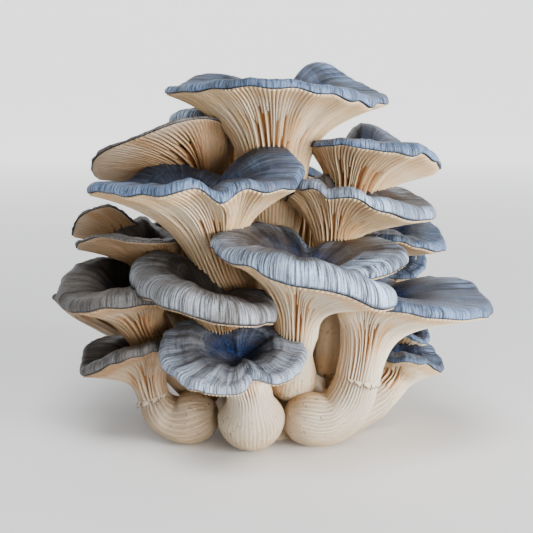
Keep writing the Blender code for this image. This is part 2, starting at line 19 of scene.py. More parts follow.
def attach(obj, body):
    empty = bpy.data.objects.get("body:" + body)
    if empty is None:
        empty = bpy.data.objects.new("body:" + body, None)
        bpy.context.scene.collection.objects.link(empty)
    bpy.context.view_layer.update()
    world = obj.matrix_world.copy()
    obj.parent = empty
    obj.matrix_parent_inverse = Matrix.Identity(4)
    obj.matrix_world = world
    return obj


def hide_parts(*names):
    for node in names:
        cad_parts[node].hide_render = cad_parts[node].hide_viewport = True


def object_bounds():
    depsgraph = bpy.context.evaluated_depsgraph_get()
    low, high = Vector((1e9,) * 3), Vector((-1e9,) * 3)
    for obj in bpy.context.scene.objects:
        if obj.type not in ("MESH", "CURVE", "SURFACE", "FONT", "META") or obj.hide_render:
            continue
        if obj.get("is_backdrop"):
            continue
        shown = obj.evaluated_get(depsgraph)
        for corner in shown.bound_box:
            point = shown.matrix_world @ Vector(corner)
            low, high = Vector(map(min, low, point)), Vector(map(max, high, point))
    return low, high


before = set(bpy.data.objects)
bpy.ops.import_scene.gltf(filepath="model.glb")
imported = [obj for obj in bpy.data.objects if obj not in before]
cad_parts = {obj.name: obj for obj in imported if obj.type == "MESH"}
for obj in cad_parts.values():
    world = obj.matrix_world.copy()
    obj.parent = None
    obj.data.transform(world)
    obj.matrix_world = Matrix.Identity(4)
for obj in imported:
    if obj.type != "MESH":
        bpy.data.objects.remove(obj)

LOG = logging.getLogger("oyster_cluster")
MM = 0.001
BODY = "root"

GROUND = 0.0
FULL_TURN = 2 * math.pi
QUARTER_TURN = math.pi / 2
BACK_FROM = 30.0
SMALL_SIDES = 12
COARSE = 0.62
FRONT_AZIMUTH = math.radians(265)

Array = np.ndarray
Colour = tuple[float, float, float, float]
Point = tuple[float, float, float]


class Slot(Enum):
    """The record's material slots."""

    CAP = "cap_skin"
    GILL = "gill_flesh"
    BASE = "base_flesh"


class Tone(Enum):
    """A mushroom's colouring: how blue its skin is, and how brown the flesh under it. DUSKY is a darker,
    greyer copy for the mushrooms on the left, darkened as painted shade in skin and flesh.
    """

    DUSKY = "dusky"
    GREY = "grey"
    SILVER = "silver"
    PALE = "pale"
    DEEP = "deep"


def unit(vectors: Array) -> Array:
    """Vectors brought to length 1, those without length left at nothing."""
    lengths = np.linalg.norm(vectors, axis=-1, keepdims=True)
    return vectors / np.maximum(lengths, 1e-9)


def outward(angles: Array) -> Array:
    """Level directions at these azimuths."""
    return np.stack([np.cos(angles), np.sin(angles), np.zeros_like(angles)], axis=1)


def eased(values: Array | float) -> Array | float:
    """A smooth step from 0 to 1 of values between 0 and 1."""
    held = np.clip(values, 0.0, 1.0)
    return held * held * (3 - 2 * held)


@dataclass(frozen=True)
class Ripples:
    """Smooth random waves over azimuth and path, the same each run.

    Attributes:
        seed: picks the waves.
        around: fewest and most waves round the mushroom.
        along: most waves along the path.
        count: how many waves are added together.
        evening: brings the sum of the waves to mostly between -1 and 1.
    """

    seed: int
    around: tuple[int, int]
    along: float = 0.0
    count: int = 7
    evening: float = 1.05

    def at(self, angles: Array, path: float = 0.0) -> Array:
        """The height of the waves, mostly between -1 and 1.

        Args:
            angles: azimuths in radians.
            path: how far along the mushroom they are.

        Returns:
            One height for each azimuth.
        """
        draw = np.random.default_rng(self.seed)
        total = np.zeros_like(angles)
        for _ in range(self.count):
            turns = int(draw.integers(self.around[0], self.around[1] + 1))
            phase = draw.uniform(0, FULL_TURN)
            lean = draw.uniform(-self.along, self.along) * FULL_TURN
            total = total + draw.uniform(0.5, 1.0) * np.sin(turns * angles + lean * path + phase)
        return total / (self.evening * math.sqrt(self.count))


@dataclass(frozen=True)
class Growth:
    """What all the mushrooms share: how a margin rolls and how the gills run.

    Attributes:
        roll_angle: how far the margin is rolled over.
        cap_thickness, roll_share: the hidden side of a skin lies this far below its face, and
            this share of the roll more.
        throat_thickness: how far below the throat a skin ends.
        small_skin_depth, small_throat_depth: the same two for the small mushrooms.
        margin_step, margin_drop: where the gills end, inward of the margin and below it.
        inner_share: how far from the throat the hidden sides of skin and flesh begin.
        dimple: how sharp the throat of the funnel is.
        rim_step: the turn over which the rim's direction is measured.
        rim_samples: how many points the rim's length is measured with.
        neck_pull, margin_pull: how far the gills follow the stem, and how level they reach the
            margin.
        small_margin_pull: the same for the small mushrooms.
        slope_step: the step over which the slope of the gilled face is measured.
        line_samples: how many points a stem's length is measured with.
        waist_at: where a stem is at its thinnest, from the foot to the neck.
        reach_for_waves: a rim that reaches less than this has smaller waves.
        broad_waves, fine_waves, shrink: what the waves do to the rim's reach.
        rise_waves, roll_waves: what they do to its rise and its roll.
    """

    roll_angle: float = math.radians(112)
    cap_thickness: float = 0.9
    roll_share: float = 0.4
    throat_thickness: float = 4.0
    small_skin_depth: float = 0.35
    small_throat_depth: float = 1.5
    margin_step: float = 0.9
    margin_drop: float = 0.7
    inner_share: float = 0.78
    dimple: float = 0.12
    rim_step: float = math.radians(4)
    rim_samples: int = 721
    neck_pull: float = 0.75
    margin_pull: Point = (0.72, 0.72, 0.2)
    small_margin_pull: Point = (0.35, 0.35, 0.5)
    slope_step: float = 0.01
    line_samples: int = 101
    waist_at: float = 0.6
    reach_for_waves: float = 40.0
    broad_waves: float = 0.55
    fine_waves: float = 0.4
    shrink: float = 0.5
    rise_waves: float = 0.5
    roll_waves: float = 0.12


GROWTH = Growth()


@dataclass(frozen=True)
class Mushroom:
    """One fruit body. The rim is the crest of the margin, seen from the throat of the funnel.

    Attributes:
        name: what it is called in the list of solids.
        throat: the lowest point of the funnel.
        knee: the stem bends towards this point.
        foot: the middle of the stem's swollen lower end.
        rim: (azimuth in degrees, reach, rise[, roll]) round the throat.
        neck, waist, swelling: radii of the stem where the gills begin, at its thinnest and at
            its foot.
        flare: how far below the throat the gills begin.
        roll: radius of the rolled margin.
        shoulder: how far the cap bulges between throat and margin.
        sides: the number of gills, before the short ones.
        tone: the colour of its skin and flesh; the shaded tone adds painted shade.
        ruffle: how strong the small waves of its margin are.
        gill_depth: how far its gills stand out, next to the others.
    """

    name: str
    throat: Point
    knee: Point
    foot: Point
    rim: tuple[tuple[float, ...], ...]
    neck: float
    waist: float
    swelling: float
    flare: float
    roll: float = 4.5
    shoulder: float = 2.0
    sides: int = 36
    tone: Tone = Tone.SILVER
    ruffle: float = 1.0
    gill_depth: float = 1.0

    @property
    def seed(self) -> int:
        """A number of its own, from its name."""
        return sum(ord(letter) * (place + 1) for place, letter in enumerate(self.name))

    @property
    def throat_reach(self) -> float:
        """How far the rim is from the throat on average."""
        return sum(point[1] for point in self.rim) / len(self.rim)

    @property
    def detail(self) -> float:
        """How closely its surface is divided, less at the back and on the small ones."""
        return COARSE if self.throat[1] > BACK_FROM or self.sides <= SMALL_SIDES else 1.0

    @property
    def skin_depth(self) -> float:
        """How far below its face the hidden side of the skin lies."""
        if self.sides <= SMALL_SIDES:
            return GROWTH.small_skin_depth
        return GROWTH.cap_thickness + GROWTH.roll_share * self.roll

    @property
    def throat_depth(self) -> float:
        """How far below the throat the skin ends."""
        return GROWTH.small_throat_depth if self.sides <= SMALL_SIDES else GROWTH.throat_thickness

    @property
    def facing(self) -> float:
        """The azimuth at which its gills part the most."""
        if self.throat[1] < BACK_FROM:
            return FRONT_AZIMUTH
        return math.atan2(self.throat[1], self.throat[0])

    def rim_values(self, angles: Array, ruffled: bool = True) -> Array:
        """Columns of reach to the crest, rise and roll at these azimuths.

        Args:
            angles: azimuths in radians.
            ruffled: whether the small waves of the margin are added.

        Returns:
            One row for each azimuth.
        """
        columns = 4
        knots = np.array([(*point, self.roll)[:columns] for point in sorted(self.rim)], float)
        knots[:, 1] -= knots[:, 3]
        turn = np.array([360.0, 0.0, 0.0, 0.0])
        knots = np.vstack([knots[-2:] - turn, knots, knots[:2] + turn])
        at, values = np.radians(knots[:, 0]), knots[:, 1:]
        slopes = (values[2:] - values[:-2]) / (at[2:] - at[:-2])[:, None]
        at, values = at[1:-1], values[1:-1]
        turned = np.mod(angles, FULL_TURN)
        left = np.clip(np.searchsorted(at, turned, side="right") - 1, 0, len(at) - 2)
        span = at[left + 1] - at[left]
        u = ((turned - at[left]) / span)[:, None]
        span = span[:, None]
        rim = (
            (1 + 2 * u) * (1 - u) ** 2 * values[left]
            + u * (1 - u) ** 2 * span * slopes[left]
            + u * u * (3 - 2 * u) * values[left + 1]
            + u * u * (u - 1) * span * slopes[left + 1]
        )
        if ruffled:
            ruffle = self.ruffle * min(1.0, self.throat_reach / GROWTH.reach_for_waves)
            broad = GROWTH.broad_waves * Ripples(self.seed, (7, 13)).at(angles)
            fine = GROWTH.fine_waves * Ripples(self.seed + 1, (16, 34)).at(angles)
            rim[:, 0] += ruffle * (broad + fine - GROWTH.shrink)
            rim[:, 1] += ruffle * GROWTH.rise_waves * Ripples(self.seed + 2, (6, 18)).at(angles)
            rim[:, 2] *= 1 + GROWTH.roll_waves * Ripples(self.seed + 3, (5, 17)).at(angles)
        return rim

    def crest(self, angles: Array, ruffled: bool = True) -> Array:
        """Points along the top of the margin.

        Args:
            angles: azimuths, in radians.
            ruffled: whether the small waves are on it.

        Returns:
            One point for each azimuth, in millimetres.
        """
        reach, rise, _ = self.rim_values(angles, ruffled).T
        points = np.array(self.throat, float) + outward(angles) * reach[:, None]
        points[:, 2] += rise
        return points

    def margin_normals(self, angles: Array) -> Array:
        """Level directions out of the rim, halfway between its own normal and the azimuth.

        Args:
            angles: azimuths, in radians.

        Returns:
            One level direction for each azimuth.
        """
        ahead = self.crest(angles + GROWTH.rim_step, False)
        along = ahead - self.crest(angles - GROWTH.rim_step, False)
        normals = unit(np.stack([along[:, 1], -along[:, 0], np.zeros(len(angles))], axis=1))
        return unit(normals + outward(angles))

    def spread(self, shares: Array) -> Array:
        """Azimuths at these shares of the way round, spaced partly by angle and partly by length.

        Args:
            shares: shares of the way round.

        Returns:
            The azimuths, in radians.
        """
        fine = np.linspace(0, FULL_TURN, GROWTH.rim_samples)
        lengths = np.linalg.norm(np.diff(self.crest(fine, False), axis=0), axis=1)
        steps = lengths / lengths.sum() + 1 / len(lengths)
        travelled = np.concatenate([[0], np.cumsum(steps)]) / steps.sum()
        whole = np.floor(shares)
        return np.interp(shares - whole, travelled, fine) + FULL_TURN * whole

    def cap_top(self, angles: Array, share: float) -> Array:
        """Points on the cap's upper face, from the throat at share 0 to the crest at share 1.

        Args:
            angles: azimuths, in radians.
            share: share of the way out.

        Returns:
            One point for each azimuth, in millimetres.
        """
        reach, rise, _ = self.rim_values(angles).T
        rounded = share * share * (1 + GROWTH.dimple) / (share + GROWTH.dimple)
        bulge = self.shoulder * math.sin(math.pi * rounded) ** 2
        height = rise * (1 - (1 - rounded) ** 2) + bulge
        points = np.array(self.throat, float) + outward(angles) * (reach * share)[:, None]
        points[:, 2] += height
        return points

    def margin(self, angles: Array, turn: float) -> Array:
        """Points on the rolled margin, turned this far over from the crest.

        Args:
            angles: azimuths, in radians.
            turn: how far over, in radians.

        Returns:
            One point for each azimuth, in millimetres.
        """
        roll = self.rim_values(angles)[:, 2]
        points = self.crest(angles) + self.margin_normals(angles) * (roll * math.sin(turn))[:, None]
        points[:, 2] += roll * (math.cos(turn) - 1)
        return points

    def stem_line(self, share: float) -> tuple[Array, Array]:
        """A point and the direction of the stem's middle line, from the foot at 0 to the throat at 1.

        Args:
            share: share of the way up.

        Returns:
            The point and the direction.
        """
        foot, knee, throat = (np.array(p, float) for p in (self.foot, self.knee, self.throat))
        point = (1 - share) ** 2 * foot + 2 * share * (1 - share) * knee + share * share * throat
        direction = (1 - share) * (knee - foot) + share * (throat - knee)
        return point, direction / np.linalg.norm(direction)

    @property
    def neck_share(self) -> float:
        """How far up the middle line the gills begin.

        Returns:
            A share of the way from the foot to the throat.
        """
        shares = np.linspace(1, 0, GROWTH.line_samples)
        points = np.array([self.stem_line(s)[0] for s in shares])
        steps = np.linalg.norm(np.diff(points, axis=0), axis=1)
        return float(np.interp(self.flare, np.concatenate([[0], np.cumsum(steps)]), shares))

    def stem_ring(self, angles: Array, share: float, radius: Array | float) -> Array:
        """A ring square to the stem's middle line, turned the least from the rim's azimuths.

        Args:
            angles: azimuths, in radians.
            share: share of the way up the middle line.
            radius: the ring's radius, one for all or one for each azimuth.

        Returns:
            One point for each azimuth, in millimetres.
        """
        middle, direction = self.stem_line(share)
        axis = np.cross([0.0, 0.0, 1.0], direction)
        level = outward(angles)
        once = np.cross(axis, level)
        facing = level + once + np.cross(axis, once) / (1 + direction[2])
        return middle + facing * np.reshape(radius, (-1, 1))

    def stem_radius(self, step: float) -> float:
        """Radius at this share of the way from the foot to the neck.

        Args:
            step: share of the way up.

        Returns:
            The radius in millimetres.
        """
        if step < GROWTH.waist_at:
            near, far, share = self.swelling, self.waist, step / GROWTH.waist_at
        else:
            near, far, share = self.waist, self.neck, (step - GROWTH.waist_at) / (1 - GROWTH.waist_at)
        return near + (far - near) * eased(share)

    def gill_face(self, angles: Array, share: float) -> Array:
        """Points on the gilled face, from the neck at share 0 to the margin at share 1.

        Args:
            angles: azimuths, in radians.
            share: share of the way out.

        Returns:
            One point for each azimuth, in millimetres.
        """
        start_share = self.neck_share
        start = self.stem_ring(angles, start_share, self.neck)
        direction = self.stem_line(start_share)[1]
        end = self.margin(angles, GROWTH.roll_angle) - self.margin_normals(angles) * GROWTH.margin_step
        end[:, 2] -= GROWTH.margin_drop
        first = start + direction * GROWTH.neck_pull * self.flare
        pull = GROWTH.small_margin_pull if self.sides <= SMALL_SIDES else GROWTH.margin_pull
        second = end + (start - end) * np.array(pull)
        u, v = share, 1 - share
        return v**3 * start + 3 * u * v * v * first + 3 * u * u * v * second + u**3 * end

    def rings(self, columns: int) -> Array:
        """Rows of points round the whole mushroom, from the throat over the margin to the foot.

        Args:
            columns: how many azimuths there are.

        Returns:
            The points, by row and azimuth, in millimetres.
        """
        angles = np.linspace(0, FULL_TURN, columns + 1)
        rows = [self.cap_top(angles, share) for share in (0.0, 0.4, 0.8, 1.0)]
        rows.append(self.margin(angles, GROWTH.roll_angle))
        rows += [self.gill_face(angles, share) for share in (0.75, 0.5, 0.25, 0.0)]
        for step in (0.7, 0.4, 0.0):
            rows.append(self.stem_ring(angles, self.neck_share * step, self.stem_radius(step)))
        return np.array(rows)


@dataclass(frozen=True)
class Shelter:
    """Tells how closed in a place is by the mushrooms round it, from rays sent out of it. The finishes darken
    closed-in places with it, as painted shade.

    Attributes:
        reach: how far a ray looks, in millimetres.
        start: how far off the skin it starts.
        columns, rows: how finely a skin is sampled.
        turns, leans: the rays, by angle round the normal and by cosine to it.
        far_loss: how much less a thing at the reach's end counts than a near one.
        upright: a normal steeper than this is set off along the X axis, not the Z axis.
    """

    reach: float = 70.0
    start: float = 3.0
    columns: int = 36
    rows: int = 13
    turns: int = 6
    leans: tuple[float, ...] = (0.92, 0.65, 0.35)
    far_loss: float = 0.6
    upright: float = 0.9

    def tree(self, mushrooms: tuple[Mushroom, ...]) -> BVHTree:
        """Makes a search tree of all the mushrooms, coarsely.

        Args:
            mushrooms: the mushrooms.

        Returns:
            The tree, in millimetres.
        """
        points, faces = [], []
        for mushroom in mushrooms:
            rings = mushroom.rings(self.columns)
            count = rings.shape[1]
            base = len(points)
            points.extend(rings.reshape(-1, 3).tolist())
            for row in range(rings.shape[0] - 1):
                for column in range(count - 1):
                    corner = base + row * count + column
                    faces.append((corner, corner + 1, corner + count + 1, corner + count))
        return BVHTree.FromPolygons(points, faces)

    def directions(self) -> list[Point]:
        """The rays round an upright normal.

        Returns:
            Directions of length 1, with +Z along the normal.
        """
        rays = []
        for number, lean in enumerate(self.leans):
            side = math.sqrt(1 - lean * lean)
            for turn in range(self.turns):
                angle = FULL_TURN * (turn + number / 2) / self.turns
                rays.append((side * math.cos(angle), side * math.sin(angle), lean))
        return rays

    def over(self, sheet: "Sheet", tree: BVHTree) -> Array:
        """How sheltered each point of a skin is, from 0 in the open to 1.

        Args:
            sheet: the skin's rows of points.
            tree: the mushrooms round it.

        Returns:
            One share for each point, in rows.
        """
        grid = np.array(sheet.rows)
        row_at = np.linspace(0, grid.shape[0] - 1, self.rows)
        column_at = np.linspace(0, grid.shape[1] - 1, self.columns + 1)
        coarse = grid[np.ix_(row_at.astype(int), column_at.astype(int))]
        down = np.gradient(coarse, axis=0)
        around = np.gradient(coarse, axis=1)
        normals = unit(np.cross(down, around))
        rays = np.array(self.directions())
        closed = np.zeros(coarse.shape[:2])
        for row in range(coarse.shape[0]):
            for column in range(coarse.shape[1]):
                normal = normals[row, column]
                helper = [0.0, 0.0, 1.0] if abs(normal[2]) < self.upright else [1.0, 0.0, 0.0]
                first = unit(np.cross(helper, normal))
                second = np.cross(normal, first)
                aims = rays @ np.array([first, second, normal])
                origin = coarse[row, column] + normal * self.start
                closed[row, column] = self.share_closed(tree, origin, aims)
        across = np.array([np.interp(np.arange(grid.shape[1]), column_at, line) for line in closed])
        return np.array([np.interp(np.arange(grid.shape[0]), row_at, line) for line in across.T]).T

    def share_closed(self, tree: BVHTree, origin: Array, aims: Array) -> float:
        """The share of the rays that meet something, near things counting the most.

        Args:
            tree: the mushrooms.
            origin: where the rays start, in millimetres.
            aims: the rays' directions.

        Returns:
            From 0 where no ray meets a thing to 1.
        """
        start = Vector(origin)
        total = 0.0
        for aim in aims:
            distance = tree.ray_cast(start, Vector(aim), self.reach)[3]
            if distance is not None:
                total += 1 - self.far_loss * distance / self.reach
        return total / len(aims)


def fan_rim(outward_at: float, reach: float, rise: float, seed: int) -> tuple[tuple[float, ...], ...]:
    """A wavy rim that reaches furthest in the outward direction.

    Args:
        outward_at: that direction's azimuth in degrees.
        reach: about how far the rim reaches there.
        rise: its height over the throat on average.
        seed: picks the waves.

    Returns:
        Azimuth in degrees, reach and rise of twelve points.
    """
    draw = np.random.default_rng(seed)
    phases = draw.uniform(0, FULL_TURN, 4)
    points = []
    for azimuth in range(0, 360, 30):
        a = math.radians(azimuth)
        facing = math.cos(a - math.radians(outward_at))
        wave = 0.10 * math.sin(2 * a + phases[0]) + 0.07 * math.sin(3 * a + phases[1])
        lift = 0.30 * math.sin(2 * a + phases[2]) + 0.25 * math.sin(3 * a + phases[3])
        stretched = reach * (0.80 + 0.22 * facing + wave)
        points.append((azimuth, stretched, rise * (1 + lift - 0.2 * facing)))
    return tuple(points)


MUSHROOMS: tuple[Mushroom, ...] = (
    Mushroom(
        "front", throat=(-13, -62, 46), knee=(-7, -55, 34), foot=(-7, -49, 15.4),
        rim=((4, 31, 7), (33, 32, 10), (64, 27, 14), (92, 17, 12), (118, 26, 15), (140, 34, 14),
             (160, 36, 12), (182, 35, 7), (211, 34, 2), (240, 33, -1), (266, 30, -3), (291, 19, 0),
             (312, 29, 0), (335, 31, 3)),
        neck=9.5, waist=10.5, swelling=15.4, flare=15, roll=3.0, shoulder=3.0, sides=30, tone=Tone.PALE,
    ),
    Mushroom(
        "centre", throat=(15, -57, 80), knee=(14, -48, 56), foot=(11.5, -33, 31.5),
        rim=((12, 50, 13, 4.5), (37, 52, 17), (57, 43, 16), (79, 29, 13), (97, 43, 20), (117, 43, 23),
             (148, 39, 24), (185, 40, 22), (213, 41, 20), (237, 44, 21, 5.0), (260, 47, 19, 7.0),
             (282, 48, 16, 8.0), (302, 50, 12, 8.5), (320, 50, 6, 7.5), (334, 42, 4, 5.0),
             (343, 25, 6), (350, 22, 7), (358, 36, 9)),
        neck=9.5, waist=9.0, swelling=12.8, flare=28, roll=3.6, sides=30,
    ),
    Mushroom(
        "rolled_left", throat=(-24, -52, 69), knee=(-19, -38, 49), foot=(-14, -29, 29),
        rim=((0, 27, 8), (44, 17, 5), (90, 17, 8), (119, 35, 17), (137, 39, 22), (156, 39, 22),
             (180, 38, 19), (213, 36, 17), (245, 39, 15), (272, 42, 11), (292, 43, 9), (316, 36, 6),
             (341, 30, 7)),
        neck=8.0, waist=8.0, swelling=10.0, flare=24, roll=6.5, sides=30, tone=Tone.GREY,
        gill_depth=0.35,
    ),
    Mushroom(
        "right_shelf", throat=(45, -39, 66), knee=(47, -40, 7), foot=(20.5, -43, 13),
        rim=((9, 61, 4), (28, 61, 8), (42, 54, 8), (57, 44, 5), (72, 38, 10), (89, 24, 8),
             (130, 12, 4), (186, 12, 3), (242, 23, 8), (262, 34, 11), (276, 40, 12),
             (295, 47, 10), (315, 53, 7), (343, 58, 4)),
        neck=10.0, waist=11.5, swelling=13.0, flare=32, roll=3.6, sides=30, tone=Tone.DEEP,
    ),
    Mushroom(
        "left_shelf", throat=(-36, -35, 104), knee=(-4, -27, 66), foot=(-9, -14, 35),
        rim=((10, 50, 33.5), (29, 48, 34.5), (52, 39, 20), (82, 37, 22.5), (104, 41, 25.5),
             (126, 42, 24), (142, 41, 19), (172, 48, 17, 2.4), (201, 44, 21), (230, 41, 21),
             (259, 43, 22), (277, 45, 25), (292, 44, 19), (306, 48, 24), (329, 51, 22), (352, 54, 26)),
        neck=11.5, waist=11.0, swelling=11.0, flare=34, roll=3.2, sides=30, tone=Tone.DEEP,
    ),
    Mushroom(
        "crown", throat=(4, -2, 149), knee=(3, 4, 92), foot=(3, 8, 40),
        rim=((4, 56, 14), (22, 55, 16.5), (40, 53, 23), (58, 48, 30), (73, 45, 21), (88, 45, 19.5),
             (110, 46, 19.5), (136, 50, 24.5), (161, 53, 18.5), (187, 53, 17, 2.0), (229, 50, 20),
             (263, 54, 21.5), (294, 51, 19), (325, 49, 16, 4.5), (345, 51, 13)),
        neck=16.0, waist=12.5, swelling=14.0, flare=30, roll=2.9, sides=36, tone=Tone.DEEP,
    ),
    Mushroom(
        "right_middle", throat=(31, -25, 105), knee=(31, -25, 66), foot=(29, -22, 34),
        rim=((4, 50, 6), (24, 50, 9), (40, 45, 13), (62, 36, 9), (96, 26, 20), (134, 22, 13),
             (190, 23, 14), (228, 26, 20), (250, 30, 20.5), (263, 29, 16.5), (282, 32, 18),
             (300, 34, 14, 4.0), (320, 38, 12, 5.5), (342, 45, 8, 5.0)),
        neck=7.5, waist=5.5, swelling=7.0, flare=20, roll=3.0, sides=24,
    ),
    Mushroom(
        "left_dark", throat=(-66, -30, 65), knee=(-50, -28, 38), foot=(-32, -22, 22),
        rim=((20, 22, 10), (69, 29, 15), (101, 36, 17), (120, 38, 18), (155, 33, 16), (195, 33, 10),
             (222, 34, 8), (246, 38, 10), (270, 42, 13), (300, 36, 13), (345, 25, 11)),
        neck=9.5, waist=8.5, swelling=10.0, flare=24, roll=4.5, sides=24, tone=Tone.DUSKY,
    ),
    Mushroom(
        "lower_left", throat=(-56, -36, 37), knee=(-54, -37, 6), foot=(-35, -38, 12.5),
        rim=((46, 19, 13), (94, 22, 6), (135, 28, 10), (161, 31, 10), (184, 31, 7), (204, 33, 3),
             (222, 31, 8, 4.0), (237, 29, 12, 4.5), (260, 27, 14), (286, 24, 16), (334, 19, 16)),
        neck=7.0, waist=10.0, swelling=12.5, flare=14, roll=2.8, sides=18, tone=Tone.DUSKY,
    ),
    Mushroom(
        "upper_left", throat=(-31, 12, 130), knee=(-25, 16, 96), foot=(-16, 16, 40),
        rim=((10, 18, 12), (45, 20, 16), (78, 21, 20), (112, 25, 21), (155, 40, 4), (176, 53, -8),
             (191, 56.5, -3), (216, 58, 7.5), (238, 52, 15.5), (259, 44, 22), (279, 31, 23),
             (313, 20, 18)),
        neck=7.5, waist=7.0, swelling=8.5, flare=24, roll=1.0, shoulder=0.5, sides=24,
        tone=Tone.DUSKY, ruffle=0.4,
    ),
    Mushroom(
        "upper_right", throat=(48, 0, 127), knee=(34, 3, 92), foot=(23, 3, 40),
        rim=((5, 37.5, 1, 2.2), (29, 36, 0), (54, 36, 13), (88, 34, 21), (112, 25, 12), (150, 25, 12),
             (184, 28, 13), (220, 31, 15), (252, 34, 16), (280, 36, 14.5, 3.2), (317, 37, 13, 4.0),
             (345, 37.5, 6, 2.8)),
        neck=12.0, waist=10.0, swelling=9.0, flare=28, roll=2.3, sides=24, tone=Tone.DEEP,
    ),
    Mushroom(
        "left_middle", throat=(-56, -16, 86), knee=(-42, -11, 62), foot=(-34, -7, 32),
        rim=((12, 17, 9), (55, 18, 9), (82, 21, 11), (106, 26, 16), (130, 31, 11), (153, 36, 4),
             (180, 36, 5), (204, 35, 10), (230, 32, 14), (254, 31, 13), (280, 27, 11.5), (320, 19, 10)),
        neck=7.0, waist=6.5, swelling=8.0, flare=20, roll=0.9, shoulder=1.0, sides=18,
        tone=Tone.DUSKY, ruffle=0.4,
    ),
    Mushroom(
        "right_blue", throat=(61, 6, 91), knee=(47, 7, 64), foot=(37, 4, 34),
        rim=((14, 29, 4), (43, 30, 8), (70, 28, 9), (103, 22, 6), (145, 15, 4), (190, 14, 3),
             (232, 19, 5), (270, 28, 6), (292, 28, 3), (319, 28, 1, 3.2), (349, 29, 1, 4.0)),
        neck=6.0, waist=6.0, swelling=7.5, flare=18, roll=2.2, sides=18, tone=Tone.DEEP,
    ),
    Mushroom(
        "lower_right", throat=(66, -1, 28), knee=(58, -14, 10), foot=(37, -29, 13),
        rim=((13, 24, 3), (39, 25, 7), (66, 24, 7), (103, 17, 6), (150, 14, 5), (195, 13, 6),
             (255, 21, 9), (276, 25, 10), (299, 25, 8), (336, 24, 1)),
        neck=8.5, waist=10.0, swelling=13.0, flare=18, roll=2.0, sides=18, tone=Tone.DEEP,
    ),
    Mushroom(
        "left_back", throat=(-74, 16, 88), knee=(-57, 17, 62), foot=(-37, 12, 30),
        rim=((20, 15, 8), (59, 16, 9), (116, 20, 11), (154, 22, 8), (201, 26, 6), (227, 28, 16),
             (250, 28, 21), (267, 25, 22), (294, 20, 14), (331, 15, 8)),
        neck=6.0, waist=5.5, swelling=7.5, flare=18, roll=0.9, shoulder=0.5, sides=18,
        tone=Tone.DUSKY, ruffle=0.4,
    ),
    Mushroom(
        "left_tip", throat=(-95, -8, 58), knee=(-76, -3, 46), foot=(-38, -2, 26),
        rim=((0, 9, 3), (60, 9, 3), (120, 10, 5), (160, 10.5, 7), (200, 11, 8), (240, 10.5, 7),
             (285, 9.5, 5), (325, 9, 3)),
        neck=4.0, waist=4.5, swelling=6.0, flare=10, roll=1.6, shoulder=0.5, sides=12, gill_depth=0.5,
        tone=Tone.DUSKY,
    ),
    Mushroom(
        "left_hook", throat=(-68, 6, 41), knee=(-55, 6, 27), foot=(-36, 6, 15),
        rim=fan_rim(200, 13, 5, 22),
        neck=4.0, waist=4.5, swelling=6.5, flare=12, roll=1.8, shoulder=0.5, sides=12, gill_depth=0.5,
        tone=Tone.DUSKY,
    ),
    Mushroom(
        "right_small", throat=(74, 18, 37), knee=(60, 14, 20), foot=(38, 8, 14),
        rim=fan_rim(340, 12, 5, 23),
        neck=4.0, waist=4.5, swelling=6.5, flare=12, roll=1.8, shoulder=0.5, sides=12, gill_depth=0.5,
        tone=Tone.DEEP,
    ),
    Mushroom(
        "right_behind", throat=(65, 24, 70), knee=(51, 22, 50), foot=(37, 16, 30),
        rim=((0, 19, 9), (40, 18, 14), (80, 17, 13), (130, 14, 8), (190, 13, 6), (250, 14, 3),
             (310, 17, 3)),
        neck=5.0, waist=5.5, swelling=7.5, flare=16, roll=2.0, sides=12, gill_depth=0.5,
        tone=Tone.DEEP,
    ),
    Mushroom(
        "back_high", throat=(0, 60, 110), knee=(2, 48, 78), foot=(2, 32, 36),
        rim=fan_rim(90, 40, 15, 31), neck=8.5, waist=8.0, swelling=9.5, flare=28, sides=18, tone=Tone.DEEP,
    ),
    Mushroom(
        "back_left_high", throat=(-23, 45, 139), knee=(-20, 38, 90), foot=(-16, 28, 36),
        rim=fan_rim(110, 29, 15, 32), neck=7.5, waist=7.0, swelling=8.5, flare=24, sides=18,
    ),
    Mushroom(
        "back_right_high", throat=(23, 46, 102), knee=(21, 38, 72), foot=(18, 26, 36),
        rim=fan_rim(60, 33, 12, 33), neck=7.5, waist=7.0, swelling=8.5, flare=24, sides=18, tone=Tone.DEEP,
    ),
    Mushroom(
        "back_left", throat=(-46, 42, 82), knee=(-38, 32, 56), foot=(-26, 20, 30),
        rim=fan_rim(130, 27, 13, 40), neck=7.0, waist=6.5, swelling=8.5, flare=22, sides=18, tone=Tone.DUSKY,
    ),
    Mushroom(
        "back_right", throat=(52, 44, 84), knee=(44, 34, 58), foot=(30, 20, 32),
        rim=fan_rim(50, 26, 11, 41), neck=7.0, waist=6.5, swelling=8.5, flare=22, sides=18, tone=Tone.DEEP,
    ),
    Mushroom(
        "back_left_middle", throat=(-36, 72, 72), knee=(-26, 60, 44), foot=(-16, 40, 24),
        rim=fan_rim(115, 34, 13, 34), neck=7.5, waist=7.5, swelling=9.5, flare=24, sides=18,
    ),
    Mushroom(
        "back_right_middle", throat=(36, 74, 66), knee=(26, 60, 42), foot=(16, 40, 24),
        rim=fan_rim(70, 34, 13, 35), neck=7.5, waist=7.5, swelling=9.5, flare=24, sides=18,
    ),
    Mushroom(
        "back_left_low", throat=(-54, 50, 42), knee=(-44, 38, 20), foot=(-28, 26, 12),
        rim=fan_rim(110, 25, 9, 36), neck=6.5, waist=7.5, swelling=10.5, flare=17, sides=18, tone=Tone.DUSKY,
    ),
    Mushroom(
        "back_right_low", throat=(56, 50, 40), knee=(46, 38, 20), foot=(30, 24, 12),
        rim=fan_rim(75, 25, 9, 37), neck=6.5, waist=7.5, swelling=10.5, flare=17, sides=18, tone=Tone.DEEP,
    ),
    Mushroom(
        "back_low", throat=(2, 80, 36), knee=(1, 64, 18), foot=(0, 44, 13),
        rim=fan_rim(90, 30, 9, 38), neck=7.5, waist=9.0, swelling=13.0, flare=15, sides=18,
    ),
)


